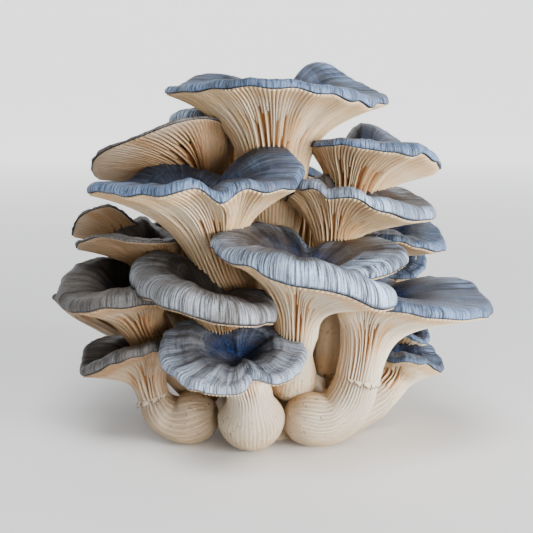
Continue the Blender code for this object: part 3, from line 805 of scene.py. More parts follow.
def add_field(mesh: bpy.types.Mesh, name: str, values: Array) -> None:
    """Gives a mesh an attribute with one number for each point."""
    mesh.attributes.new(name, "FLOAT", "POINT").data.foreach_set("value", values.ravel())


@dataclass
class Sheet:
    """A grid that is bent into a closed skin: rows of points, with what the finishes read.

    Attributes:
        name: the piece's name.
        angles: the azimuth of each column, the last one turn after the first.
        merge_within: points closer than this become one, in metres.
        rows, paths, valleys: the points, and what the finishes read, row by row.
        closed: how sheltered each point is, the mask of the painted shade.
    """

    name: str
    angles: Array
    merge_within: float = 0.000002
    rows: list[Array] = field(default_factory=list)
    paths: list[float] = field(default_factory=list)
    valleys: list[Array] = field(default_factory=list)
    closed: Array | None = None

    def row(self, points: Array, path: float, valley: Array | float = 0.0) -> None:
        """Adds a row of points.

        Args:
            points: one for each column, or a single one where the skin closes.
            path: how far along the mushroom the row is.
            valley: 1 at the bottom between two gills, 0 on a gill's edge.
        """
        count = len(self.angles)
        self.rows.append(np.broadcast_to(points, (count, 3)).copy())
        self.paths.append(path)
        self.valleys.append(np.broadcast_to(np.asarray(valley, float), (count,)).copy())

    def raise_by(self, heights: Array) -> None:
        """Moves every point out along the skin's normal by its height in millimetres.

        Args:
            heights: one for each row and column.
        """
        grid = np.array(self.rows)
        down = np.gradient(grid, axis=0)
        around = np.empty_like(grid)
        around[:, 1:-1] = grid[:, 2:] - grid[:, :-2]
        around[:, 0] = grid[:, 1] - grid[:, -2]
        around[:, -1] = around[:, 0]
        normals = unit(np.cross(down, around))
        self.rows = list(grid + normals * heights[:, :, None])

    def build(self, low: Array, high: Array) -> bpy.types.Object:
        """Adds a grid, bends it to the rows and closes its seam and its two ends.

        Args:
            low: lowest corner of the cluster's box, in metres.
            high: highest corner.

        Returns:
            The finished piece, at the origin.
        """
        columns, rows = len(self.angles) - 1, len(self.rows) - 1
        bpy.ops.object.select_all(action="DESELECT")
        bpy.ops.mesh.primitive_grid_add(x_subdivisions=columns, y_subdivisions=rows, size=1.0)
        piece = bpy.context.active_object
        piece.name = self.name
        mesh = piece.data
        mesh.name = self.name
        places = np.clip(np.array(self.rows).reshape(-1, 3) * MM, low, high)
        mesh.vertices.foreach_set("co", places.ravel())
        fan = np.empty((rows + 1, columns + 1, 3))
        fan[:, :, 0] = np.cos(self.angles)
        fan[:, :, 1] = np.sin(self.angles)
        fan[:, :, 2] = np.array(self.paths)[:, None]
        mesh.attributes.new("fan", "FLOAT_VECTOR", "POINT").data.foreach_set("vector", fan.ravel())
        add_field(mesh, "path", np.repeat(np.array(self.paths), columns + 1))
        # The valley attribute is the mask for the painted shade between the gills.
        add_field(mesh, "valley", np.array(self.valleys))
        # The shelter attribute is the mask for the painted shade of closed-in places.
        add_field(mesh, "shelter", self.closed)
        bpy.ops.object.mode_set(mode="EDIT")
        bpy.ops.mesh.select_all(action="SELECT")
        bpy.ops.mesh.remove_doubles(threshold=self.merge_within)
        bpy.ops.mesh.normals_make_consistent(inside=False)
        bpy.ops.object.mode_set(mode="OBJECT")
        bpy.ops.object.shade_smooth()
        return piece


@dataclass(frozen=True)
class Room:
    """What the pieces are fitted to: the cluster's box and the mushrooms round them.

    Attributes:
        low, high: corners of the box, in metres.
        shelter: how the closeness of the neighbours is measured.
        tree: the neighbours.
    """

    low: Array
    high: Array
    shelter: Shelter
    tree: BVHTree

    def finish(self, sheet: Sheet) -> bpy.types.Object:
        """Makes a piece of a sheet.

        Args:
            sheet: the rows of points.

        Returns:
            The finished piece.
        """
        sheet.closed = self.shelter.over(sheet, self.tree)
        return sheet.build(self.low, self.high)


@dataclass(frozen=True)
class CapBuilder:
    """Builds a cap: funnel, shoulder, rolled margin and the hidden side on the stem's flesh.

    Attributes:
        columns, top_rows, roll_rows: how finely a cap is divided.
        crowding: below 1, the rows crowd towards the margin.
        roll_path: how much further along the path the roll takes a row.
        under_path, inner_path, throat_path: the path at the rows of the hidden side.
        under_step, under_drop: where the hidden side starts, inward of the margin and below it.
        flutes, folds, rings: heights of the margin's ripples and of the rings of growth.
        relief_from: where on the path flutes and folds begin.
    """

    columns: int = 190
    top_rows: int = 22
    roll_rows: int = 9
    crowding: float = 0.8
    roll_path: float = 0.3
    under_path: float = 1.36
    inner_path: float = 1.5
    throat_path: float = 1.6
    under_step: float = 1.2
    under_drop: float = 0.1
    flutes: float = 0.20
    folds: float = 0.34
    rings: float = 0.22
    relief_from: float = 0.45

    def build(self, mushroom: Mushroom, room: Room) -> bpy.types.Object:
        """Makes the cap of one mushroom.

        Args:
            mushroom: the mushroom it belongs to.
            room: what it is fitted to.

        Returns:
            The finished cap.
        """
        angles = mushroom.spread(np.linspace(0, 1, round(self.columns * mushroom.detail) + 1))
        sheet = Sheet(mushroom.name + "_cap_skin", angles)
        for share in np.linspace(0, 1, self.top_rows) ** self.crowding:
            sheet.row(mushroom.cap_top(angles, share), float(share))
        for turn in np.linspace(0, 1, self.roll_rows)[1:]:
            rolled = mushroom.margin(angles, GROWTH.roll_angle * turn)
            sheet.row(rolled, 1 + self.roll_path * float(turn))
        self.add_relief(mushroom, sheet)
        inward = mushroom.margin_normals(angles) * self.under_step
        under = mushroom.margin(angles, GROWTH.roll_angle) - inward
        under[:, 2] -= self.under_drop
        sheet.row(under, self.under_path)
        inner = mushroom.cap_top(angles, GROWTH.inner_share)
        inner[:, 2] -= mushroom.skin_depth
        sheet.row(inner, self.inner_path)
        below = np.array([0, 0, mushroom.throat_depth])
        sheet.row(np.array(mushroom.throat) - below, self.throat_path)
        return room.finish(sheet)

    def add_relief(self, mushroom: Mushroom, sheet: Sheet) -> None:
        """Raises the flutes of the margin and the rings of growth.

        Args:
            mushroom: the mushroom it belongs to.
            sheet: the cap's rows so far.
        """
        heights = np.zeros((len(sheet.rows), len(sheet.angles)))
        for number, path in enumerate(sheet.paths):
            near = eased((path - self.relief_from) / (1 - self.relief_from))
            fading = 1 - eased((path - 1.2) / 0.1)
            inside = eased(path * 4) * (1 - eased((path - 0.8) / 0.2))
            flutes = Ripples(mushroom.seed + 5, (26, 60), 0.5, 12).at(sheet.angles, path)
            folds = Ripples(mushroom.seed + 6, (7, 20), 0.8).at(sheet.angles, path)
            rings = Ripples(mushroom.seed + 7, (1, 3), 5.0).at(sheet.angles, path)
            outer = near * (self.flutes * flutes + self.folds * folds)
            heights[number] = (outer + self.rings * inside * rings) * fading
        sheet.raise_by(heights)


@dataclass(frozen=True)
class Gills:
    """The columns of a gilled face: nine a sector, for one long gill and two short ones.

    Attributes:
        sector: the sector of each column.
        gill: the gill in the sector, 0 for the long one.
        edge: whether the column is on the gill's edge.
        at_neck, at_margin: the column's share of the way round, at both ends of the face.
    """

    sector: Array
    gill: Array
    edge: Array
    at_neck: Array
    at_margin: Array

    @property
    def sectors(self) -> int:
        """How many sectors there are."""
        return int(self.sector.max()) + 1

    @property
    def long_edge(self) -> Array:
        """Whether each column is on a long gill's edge."""
        return self.edge & (self.gill == 0)


@dataclass(frozen=True)
class StemBuilder:
    """Builds a stem with its gills, long ones from the neck and short ones from the margin.

    Attributes:
        sectors_per_side: sectors for each side of the solid.
        ridge, valley: how far the gills stand out, and how deep the gaps between them are.
        gill_rows, stem_rows, foot_rows: how finely the three lengths are divided.
        edge_width: half a gill's thickness at the margin, as a share of its room.
        neck_columns: where a sector's columns are at the neck, as shares of the sector.
        short_from, short_to: between these shares of the face the short gills begin.
        short_over: the length over which a short gill rises.
        short_low: the lowest of the short gills, next to the long ones.
        wander: how far the gills stray sideways, in sectors.
        cover: how far the flesh's hidden side lies inside the skin's.
        lumps, fibres: heights of the waves on the stem and its foot.
        rib, groove: how far a long gill stands out below the neck, and how deep it is between.
    """

    sectors_per_side: float = 1.45
    ridge: float = 0.9
    valley: float = 2.4
    gill_rows: int = 27
    stem_rows: int = 14
    foot_rows: int = 8
    edge_width: float = 0.14
    neck_columns: tuple[float, ...] = (-0.16, 0.16, 0.28, 0.36, 0.43, 0.50, 0.57, 0.64, 0.73)
    short_from: float = 0.25
    short_to: float = 0.72
    short_over: float = 0.07
    short_low: float = 0.75
    wander: float = 0.34
    cover: float = 0.3
    lumps: float = 0.5
    fibres: float = 0.07
    rib: float = 0.33
    groove: float = 0.35

    def lay_out(self, mushroom: Mushroom) -> Gills:
        """Lays out the columns, the last one on the first.

        Args:
            mushroom: the mushroom it belongs to.

        Returns:
            The columns.
        """
        sectors = round(mushroom.sides * self.sectors_per_side * mushroom.detail)
        gill = np.tile(np.repeat([0, 1, 2], 3), sectors)
        sector = np.repeat(np.arange(sectors), 9)
        edge = np.tile([True, True, False], 3 * sectors)
        across = np.tile([-self.edge_width, self.edge_width, 0.5], 3 * sectors)
        at_neck = (sector + np.tile(self.neck_columns, sectors)) / sectors
        at_margin = (sector + (gill + across) / 3) / sectors
        return Gills(
            np.append(sector, 0),
            np.append(gill, 0),
            np.append(edge, True),
            np.append(at_neck, at_neck[0] + 1),
            np.append(at_margin, at_margin[0] + 1),
        )

    def build(self, mushroom: Mushroom, room: Room) -> bpy.types.Object:
        """Makes the stem of one mushroom.

        Args:
            mushroom: the mushroom it belongs to.
            room: what it is fitted to.

        Returns:
            The finished stem.
        """
        gills = self.lay_out(mushroom)
        draw = np.random.default_rng(mushroom.seed)
        draws = (gills.sectors, 3)
        start = draw.uniform(self.short_from, self.short_to, draws)[gills.sector, gills.gill]
        tall = draw.uniform(self.short_low, 1.0, draws)[gills.sector, gills.gill]
        sheet = Sheet(mushroom.name + "_stem_gills", mushroom.spread(gills.at_margin))
        self.add_hidden_side(mushroom, sheet)
        for share in np.linspace(1, 0, round(self.gill_rows * math.sqrt(mushroom.detail))):
            mixed = gills.at_neck + (gills.at_margin - gills.at_neck) * eased(share / 0.6)
            stray = self.wander * Ripples(mushroom.seed + 9, (4, 14), 1.6).at(FULL_TURN * mixed, share)
            angles = mushroom.spread(mixed + stray * (1 - share) / gills.sectors)
            rise, deep = self.rise_and_depth(mushroom, angles, share)
            gap = self.valley * deep
            grown = np.where(gills.gill == 0, 1.0, eased((share - start) / self.short_over))
            top = rise * np.where(gills.gill == 0, 1.0, 0.8 * tall)
            height = np.where(gills.edge, -gap + (top + gap) * grown, -gap)
            # The valley attribute: how deep a point lies in the gap between gills, the mask for painted
            # shade.
            depth = np.clip((rise - height) / (rise + gap), 0, 1) * (0.7 + 0.3 * np.clip(deep, 0, 1))
            face = mushroom.gill_face(angles, share)
            normals = self.face_normals(mushroom, angles, share)
            sheet.row(face + normals * height[:, None], float(share), depth)
        self.add_stem(mushroom, sheet, gills)
        return room.finish(sheet)

    def add_hidden_side(self, mushroom: Mushroom, sheet: Sheet) -> None:
        """Adds the rows under the skin, from the throat out to the margin.

        Args:
            mushroom: the mushroom it belongs to.
            sheet: the stem's rows so far.
        """
        below = np.array([0, 0, mushroom.throat_depth - self.cover])
        sheet.row(np.array(mushroom.throat) - below, 1.3)
        inner = mushroom.cap_top(sheet.angles, GROWTH.inner_share)
        inner[:, 2] -= mushroom.skin_depth - self.cover
        sheet.row(inner, 1.2)
        lift = mushroom.gill_face(sheet.angles, 1.0)
        lift[:, 2] += 0.5
        sheet.row(lift, 1.05)

    def rise_and_depth(self, mushroom: Mushroom, angles: Array, share: float) -> tuple[Array, Array]:
        """How far the gills stand out here in millimetres, and how deep the gaps are.

        Args:
            mushroom: the one they are on.
            angles: azimuths of the columns.
            share: the row, from the neck at 0 to the margin at 1.

        Returns:
            The rise of the long gills, and the share of the full depth between them.
        """
        least = min(0.36, 0.10 + 0.07 * mushroom.roll)
        near_margin = (least + (1 - least) * eased((0.98 - share) / 0.3)) * mushroom.gill_depth
        parted = 0.52 + 0.48 * (0.5 + 0.5 * np.cos(angles - mushroom.facing)) ** 3
        parted = parted * (1 + 0.3 * Ripples(mushroom.seed + 12, (3, 9), 0.5).at(angles, share))
        deep = near_margin * (0.35 + 0.65 * eased(share / 0.3)) * parted
        return self.ridge * near_margin * (0.4 + 0.6 * parted), deep

    def face_normals(self, mushroom: Mushroom, angles: Array, share: float) -> Array:
        """Directions out of the gilled face at these columns.

        Args:
            mushroom: the mushroom it belongs to.
            angles: azimuths of the columns, in radians.
            share: the row, from the neck at 0 to the margin at 1.

        Returns:
            One direction for each column.
        """
        step = GROWTH.slope_step
        above = mushroom.gill_face(angles, share + step)
        below = mushroom.gill_face(angles, max(share - step, 0))
        right = mushroom.gill_face(angles + step, share)
        left = mushroom.gill_face(angles - step, share)
        return unit(np.cross(right - left, above - below))

    def add_stem(self, mushroom: Mushroom, sheet: Sheet, gills: Gills) -> None:
        """Adds the rows from the neck to the foot, on which the long gills fade out.

        Args:
            mushroom: the mushroom it belongs to.
            sheet: the stem's rows so far.
            gills: the columns.
        """
        angles = mushroom.spread(gills.at_neck)
        broad = Ripples(mushroom.seed + 11, (2, 5), 1.2)
        fine = Ripples(mushroom.seed + 13, (40, 110), 1.0, 10)
        for step in np.linspace(1, 0, self.stem_rows + 1)[1:]:
            fade = eased((step - 0.5) / 0.5)
            height = np.where(gills.long_edge, self.rib, -self.groove) * fade
            waves = self.lumps * broad.at(angles, step) + self.fibres * fine.at(angles, step)
            radius = mushroom.stem_radius(float(step)) + height + waves * (1 - fade)
            points = mushroom.stem_ring(angles, mushroom.neck_share * float(step), radius)
            points[:, 2] = np.maximum(points[:, 2], GROUND)
            # The grooves below the neck get part of the painted valley shade.
            sheet.row(points, float(step) - 1.0, np.where(gills.long_edge, 0.2, 0.45) * fade)
        direction = mushroom.stem_line(0)[1]
        lumps = self.lumps * broad.at(angles, 0.0)
        for number in range(1, self.foot_rows + 1):
            latitude = QUARTER_TURN * number / self.foot_rows
            fibres = self.fibres * fine.at(angles, -latitude)
            radius = (mushroom.swelling + lumps + fibres) * math.cos(latitude)
            points = mushroom.stem_ring(angles, 0.0, radius)
            points = points - direction * mushroom.swelling * math.sin(latitude)
            points[:, 2] = np.maximum(points[:, 2], GROUND)
            sheet.row(points, -1.0 - 0.2 * number / self.foot_rows)


@dataclass(frozen=True)
class Veil:
    """A torn remnant of skin round a stem, at its neck.

    Attributes:
        mushroom: name of the mushroom whose stem it is on.
        step: where it is attached, as a share of the way from the foot to the neck.
        height: how far its torn edge hangs away along the stem, upward if above nothing.
        spread_out: how far the torn edge stands out.
        start, end: azimuths between which it is left, in degrees.
        seed: picks how it is torn.
        columns, rows: how finely it is divided.
        thickness: its thickness.
        lift: how far it stands off the stem.
        shortest, longest: limits of the torn edge's length, as shares of the height.
        sharp: edges steeper than this stay sharp, in radians.
    """

    mushroom: str
    step: float
    height: float
    spread_out: float
    start: float
    end: float
    seed: int
    columns: int = 220
    rows: int = 7
    thickness: float = 0.28
    lift: float = 0.5
    shortest: float = 0.12
    longest: float = 1.4
    sharp: float = math.radians(60)

    def torn_edge(self, angles: Array) -> Array:
        """How far the torn edge reaches at these azimuths, fading out at both ends.

        Args:
            angles: azimuths, in radians.

        Returns:
            Shares of the veil's height.
        """
        taper = np.sqrt(np.sin(np.linspace(0, math.pi, self.columns + 1)))
        torn = 0.55 + 0.3 * Ripples(self.seed, (6, 18)).at(angles)
        torn = torn + 0.3 * Ripples(self.seed + 1, (30, 80)).at(angles)
        return np.clip(torn, self.shortest, self.longest) * taper

    def build(self, mushroom: Mushroom) -> bpy.types.Object:
        """Adds a strip, bends it round the stem, tears its edge and gives it a thickness.

        Args:
            mushroom: the mushroom it is on.

        Returns:
            The finished piece.
        """
        bpy.ops.object.select_all(action="DESELECT")
        bpy.ops.mesh.primitive_grid_add(x_subdivisions=self.columns, y_subdivisions=self.rows, size=1.0)
        piece = bpy.context.active_object
        piece.name = self.mushroom + "_veil"
        mesh = piece.data
        mesh.name = piece.name
        angles = np.radians(np.linspace(self.start, self.end, self.columns + 1))
        torn = self.torn_edge(angles)
        share = mushroom.neck_share * self.step
        direction = mushroom.stem_line(share)[1]
        curl = 1 + 0.4 * Ripples(self.seed + 2, (4, 12)).at(angles)
        places = []
        for out in np.linspace(0, 1, self.rows + 1):
            flare = self.spread_out * torn * out * curl
            radius = mushroom.stem_radius(self.step) + self.lift * math.sqrt(out) + flare
            ring = mushroom.stem_ring(angles, share, radius)
            places.append(ring + direction * (self.height * torn * out)[:, None])
        mesh.vertices.foreach_set("co", (np.array(places) * MM).ravel())
        add_field(mesh, "path", np.repeat(np.linspace(0, 1, self.rows + 1), self.columns + 1))
        bpy.ops.object.modifier_add(type="SOLIDIFY")
        piece.modifiers["Solidify"].thickness = self.thickness * MM
        piece.modifiers["Solidify"].offset = 0.0
        bpy.ops.object.modifier_apply(modifier="Solidify")
        bpy.ops.object.shade_smooth_by_angle(angle=self.sharp)
        return piece


VEILS = (
    Veil("lower_left", step=0.97, height=-2.6, spread_out=2.6, start=150, end=345, seed=61),
    Veil("right_shelf", step=0.97, height=-3.4, spread_out=2.8, start=235, end=355, seed=64),
)


def even(scale: float) -> Point:
    """The same scale along all three axes."""
    return (scale, scale, scale)


@dataclass(frozen=True)
class VeilFinish:
    """Dry torn skin: cream where it is attached, dark brown along the tear.

    Attributes:
        name: the material's name.
        skin, dry: its colours at the stem and along the tear.
        patch_scale: how many patches there are in a metre.
        roughness: how matt it is.
    """

    name: str
    skin: Colour = (0.74, 0.64, 0.49, 1.0)
    dry: Colour = (0.110, 0.075, 0.050, 1.0)
    patch_scale: float = 500.0
    roughness: float = 0.75

    def material(self) -> bpy.types.Material:
        """Makes the material.

        Returns:
            The material.
        """
        graph = Graph(self.name)
        path = graph.attribute("path", "Fac")
        place = graph.add("ShaderNodeTexCoord").outputs["Object"]
        patches = graph.noise(place, even(self.patch_scale), 3.0, 0.6)
        share = graph.span(graph.scaled_sum(path, (patches, 1.3)), 0.55, 1.0)
        graph.feed(graph.shader.inputs["Base Color"], graph.mix(share, self.skin, self.dry))
        graph.shader.inputs["Roughness"].default_value = self.roughness
        graph.feed(graph.shader.inputs["Normal"], graph.bump(patches, 0.5, 0.0004))
        return graph.material


class Graph:
    """Adds shader nodes to a material and joins them."""

    def __init__(self, name: str) -> None:
        """Makes an empty material with its Principled shader.

        Args:
            name: the material's name.
        """
        self.material = bpy.data.materials.new(name)
        self.material.use_nodes = True
        self.nodes = self.material.node_tree.nodes
        self.links = self.material.node_tree.links
        self.shader = self.nodes["Principled BSDF"]

    def add(self, kind: str, **settings: object) -> bpy.types.Node:
        """Adds a node.

        Args:
            kind: the node's type.
            settings: its properties, and the values or sockets of its inputs as in_NAME.

        Returns:
            The node.
        """
        node = self.nodes.new(kind)
        for name, value in settings.items():
            if not name.startswith("in_"):
                setattr(node, name, value)
        for name, value in settings.items():
            if name.startswith("in_"):
                key = int(name[3:]) if name[3:].isdigit() else name[3:].replace("_", " ")
                self.feed(node.inputs[key], value)
        return node

    def feed(self, socket: bpy.types.NodeSocket, value: object) -> None:
        """Links a socket to the input, or sets its value.

        Args:
            socket: the input.
            value: a socket or a value.
        """
        if isinstance(value, bpy.types.NodeSocket):
            self.links.new(value, socket)
        else:
            socket.default_value = value

    def attribute(self, name: str, output: str) -> bpy.types.NodeSocket:
        """One of the piece's own attributes."""
        return self.add("ShaderNodeAttribute", attribute_name=name).outputs[output]

    def math(self, operation: str, first: object, second: object = 0.0) -> bpy.types.NodeSocket:
        """The result of a sum or product."""
        return self.add("ShaderNodeMath", operation=operation, in_0=first, in_1=second).outputs[0]

    def span(
        self, value: object, low: float, high: float, to_low: float = 0.0, to_high: float = 1.0
    ) -> bpy.types.NodeSocket:
        """The value brought from one span to another, and held there.

        Args:
            value: the socket or number.
            low, high: the span it is brought from.
            to_low, to_high: the span it is brought to.

        Returns:
            The socket with the result.
        """
        node = self.add("ShaderNodeMapRange", in_Value=value, in_From_Min=low, in_From_Max=high)
        node.inputs["To Min"].default_value = to_low
        node.inputs["To Max"].default_value = to_high
        return node.outputs["Result"]

    def noise(
        self, vector: object, scale: Point, detail: float = 3.0, rough: float = 0.5
    ) -> bpy.types.NodeSocket:
        """Noise stretched by this scale.

        Args:
            vector: the coordinates it is made on.
            scale: how many cells there are along each axis in a metre or a unit.
            detail, rough: how many finer layers it has, and how strong they are.

        Returns:
            The socket with the noise, between 0 and 1.
        """
        mapping = self.add("ShaderNodeMapping", in_Vector=vector, in_Scale=scale)
        node = self.add("ShaderNodeTexNoise", in_Vector=mapping.outputs[0], in_Scale=1.0)
        node.inputs["Detail"].default_value = detail
        node.inputs["Roughness"].default_value = rough
        return node.outputs["Fac"]

    def scaled_sum(self, start: object, *fields: tuple[object, float]) -> bpy.types.NodeSocket:
        """The start with each noise added, centred and scaled by its own amount.

        Args:
            start: what they are added to.
            fields: each noise and its amount.

        Returns:
            The socket with the sum.
        """
        total = start
        for field, amount in fields:
            centred = self.math("MULTIPLY", self.math("SUBTRACT", field, 0.5), amount)
            total = self.math("ADD", total, centred)
        return total

    def grey(self, value: object) -> bpy.types.NodeSocket:
        """A grey of this value."""
        return self.add("ShaderNodeCombineColor", in_0=value, in_1=value, in_2=value).outputs[0]

    def mix(self, share: object, first: object, second: object, way: str = "MIX") -> bpy.types.NodeSocket:
        """Two colours mixed.

        Args:
            share: how much of the second colour there is.
            first, second: the colours.
            way: how they are mixed.

        Returns:
            The socket with the colour.
        """
        node = self.add("ShaderNodeMix", data_type="RGBA", blend_type=way)
        self.feed(node.inputs[0], share)
        self.feed(node.inputs[6], first)
        self.feed(node.inputs[7], second)
        return node.outputs[2]

    def multiplied(self, base: object, share: object, colour: object) -> bpy.types.NodeSocket:
        """The base, as much multiplied by the colour as the share says."""
        return self.mix(share, base, self.mix(1.0, base, colour, "MULTIPLY"))

    def product(self, *factors: object) -> bpy.types.NodeSocket:
        """All the factors multiplied together.

        Args:
            factors: sockets or numbers.

        Returns:
            The socket with the product.
        """
        total = factors[0]
        for factor in factors[1:]:
            total = self.math("MULTIPLY", total, factor)
        return total

    def ramp(self, value: object, stops: tuple[tuple[float, Colour], ...]) -> bpy.types.NodeSocket:
        """A colour that changes along the value.

        Args:
            value: where along the ramp.
            stops: places and their colours.

        Returns:
            The socket with the colour.
        """
        node = self.add("ShaderNodeValToRGB", in_Fac=value)
        ramp = node.color_ramp
        ramp.interpolation = "EASE"
        while len(ramp.elements) < len(stops):
            ramp.elements.new(0.5)
        for element, (place, colour) in zip(ramp.elements, stops):
            element.position = place
            element.color = colour
        return node.outputs["Color"]

    def bump(
        self, height: object, strength: float, distance: float, normal: object = None
    ) -> bpy.types.NodeSocket:
        """A normal from a height.

        Args:
            height: the socket with the height.
            strength, distance: how much of it shows, and its full height in metres.
            normal: the normal it is laid on, if any.

        Returns:
            The socket with the normal.
        """
        node = self.add("ShaderNodeBump", in_Height=height, in_Strength=strength, in_Distance=distance)
        if normal is not None:
            self.feed(node.inputs["Normal"], normal)
        return node.outputs["Normal"]


@dataclass(frozen=True)
class CapFinish:
    """Blue-grey skin: deep in the funnel, paler to the lip, streaked outward, with a dark edge.

    Attributes:
        name: the material's name.
        deep: the darkest blue, in the throat.
        shade: the warm grey inside the funnel.
        middle: the skin between funnel and margin.
        pale: its lighter rings.
        lip: the rolled margin.
        silver: the pale fibres that shine in patches of the margin.
        blue: the blue that shows in patches near the throat.
        warm: the brown that shows in patches elsewhere.
        dusk: painted shade, what sheltered skin is multiplied by.
        edge: the dark line along the margin.
        roughness, specular: how matt the skin is, and how strong its gloss.
        hollow: where the dark funnel ends, as a share of the whole path.
        path_end: the length of the whole path.
    """

    name: str
    deep: Colour
    shade: Colour
    middle: Colour
    pale: Colour
    lip: Colour
    # silver: the pale fibres of the margin, painted brighter in patches as a sheen highlight.
    silver: Colour
    blue: Colour = (0.020, 0.060, 0.185, 1.0)
    warm: Colour = (0.150, 0.118, 0.090, 1.0)
    dusk: Colour = (0.42, 0.41, 0.42, 1.0)
    edge: Colour = (0.012, 0.012, 0.016, 1.0)
    roughness: float = 0.50
    specular: float = 0.22
    hollow: float = 0.44
    path_end: float = 1.4

    def material(self) -> bpy.types.Material:
        """Makes the material: ground colour, then fibres with a painted sheen highlight, then painted shade
        where sheltered, and the dark edge.

        Returns:
            The material.
        """
        graph = Graph(self.name)
        fan = graph.attribute("fan", "Vector")
        path = graph.attribute("path", "Fac")
        place = graph.add("ShaderNodeTexCoord").outputs["Object"]
        waves = graph.noise(fan, (3.0, 3.0, 0.6), 2.0)
        broad = graph.noise(fan, (9.0, 9.0, 1.2), 3.0, 0.55)
        streaks = graph.noise(fan, (42.0, 42.0, 2.0), 4.0, 0.65)
        hairs = graph.noise(fan, (150.0, 150.0, 5.0), 3.0, 0.6)
        grain = graph.noise(place, even(1100.0), 4.0, 0.7)
        shift = graph.scaled_sum(path, (waves, 0.30), (broad, 0.22), (streaks, 0.10))
        base = self.ground(graph, fan, path, shift)
        base = self.speckled(graph, base, path, place, shift, grain)
        lips = graph.span(path, 0.35, 0.95, 0.45, 1.0)
        for noise, low, high, dark, bright in (
            (broad, 0.38, 0.62, 0.62, 1.25),
            (streaks, 0.39, 0.61, 0.60, 1.33),
            (hairs, 0.38, 0.62, 0.66, 1.28),
        ):
            base = graph.multiplied(base, lips, graph.grey(graph.span(noise, low, high, dark, bright)))
        # Painted sheen highlight: the pale fibres turn silver in patches of the outer skin.
        glow = graph.noise(place, even(42.0), 2.0, 0.5)
        fibres = graph.span(graph.scaled_sum(streaks, (hairs, 0.7)), 0.42, 0.62, 0.0, 1.0)
        bright = graph.product(graph.span(glow, 0.42, 0.60, 0.20, 1.0), graph.span(shift, 0.66, 1.12))
        base = graph.mix(graph.product(fibres, bright), base, self.silver)
        shades = graph.grey(graph.span(grain, 0.35, 0.65, 0.80, 1.18))
        base = graph.mix(1.0, base, shades, "MULTIPLY")
        # Painted shade: skin darkened where the neighbours close it in, less so out on the margin.
        shelter = graph.attribute("shelter", "Fac")
        closed = graph.product(graph.span(shelter, 0.35, 0.80), graph.span(path, 0.45, 0.80, 0.85, 0.2))
        base = graph.multiplied(base, closed, self.dusk)
        rim = graph.span(graph.scaled_sum(path, (streaks, 0.05)), 1.268, 1.296)
        graph.feed(graph.shader.inputs["Base Color"], graph.mix(rim, base, self.edge))
        rough = graph.span(streaks, 0.3, 0.7, self.roughness - 0.1, self.roughness + 0.1)
        graph.feed(graph.shader.inputs["Roughness"], rough)
        graph.shader.inputs["Specular IOR Level"].default_value = self.specular
        normal = graph.bump(broad, 0.35, 0.0014)
        normal = graph.bump(streaks, 0.45, 0.0006, normal)
        normal = graph.bump(hairs, 0.45, 0.00025, normal)
        normal = graph.bump(grain, 0.35, 0.0002, normal)
        graph.feed(graph.shader.inputs["Normal"], normal)
        return graph.material

    def ground(self, graph: Graph, fan: object, path: object, shift: object) -> bpy.types.NodeSocket:
        """The skin's colour from the throat to the margin, with its pale and dark bands.

        Args:
            graph: the material's nodes.
            fan: azimuth and path as a vector.
            path: how far along the mushroom.
            shift: the path, strayed by noise.

        Returns:
            The socket with the colour.
        """
        stops = (
            (0.0, self.deep),
            (0.45 * self.hollow, self.deep),
            (self.hollow, self.shade),
            (self.hollow + 0.12, self.middle),
            (self.hollow + 0.22, self.pale),
            (self.hollow + 0.32, self.lip),
        )
        base = graph.ramp(graph.math("DIVIDE", shift, self.path_end), stops)
        rings = graph.noise(fan, (1.7, 1.7, 13.0), 3.0, 0.6)
        outside = graph.span(path, 0.35, 0.55)
        light = graph.product(graph.span(rings, 0.50, 0.58), outside, graph.span(path, 0.90, 1.08, 0.75, 0.0))
        base = graph.mix(light, base, self.pale)
        dark = graph.product(graph.span(rings, 0.47, 0.40), outside, graph.span(path, 0.90, 1.08, 0.65, 0.0))
        return graph.mix(dark, base, self.shade)

    def speckled(
        self, graph: Graph, base: object, path: object, place: object, shift: object, grain: object
    ) -> bpy.types.NodeSocket:
        """The colour with blue specks in the funnel and brown patches outside it.

        Args:
            graph: the material's nodes.
            base: the colour so far.
            path: how far along the mushroom.
            place: the object's own coordinates.
            shift: the path, strayed by noise.
            grain: the finest noise.

        Returns:
            The socket with the colour.
        """
        speckle = graph.product(graph.span(grain, 0.50, 0.58), graph.span(shift, 0.12, 0.50, 1.0, 0.0))
        base = graph.mix(speckle, base, self.blue)
        blotches = graph.noise(place, even(75.0), 4.0, 0.6)
        warmth = graph.product(graph.span(blotches, 0.48, 0.68), graph.span(path, 0.25, 0.55, 0.0, 0.5))
        base = graph.mix(warmth, base, self.warm)
        lobes = graph.noise(place, even(30.0), 2.0, 0.5)
        browned = graph.product(graph.span(lobes, 0.54, 0.40), graph.span(path, 1.25, 0.8, 0.45, 0.75))
        return graph.mix(browned, base, graph.mix(0.5, self.warm, self.shade))


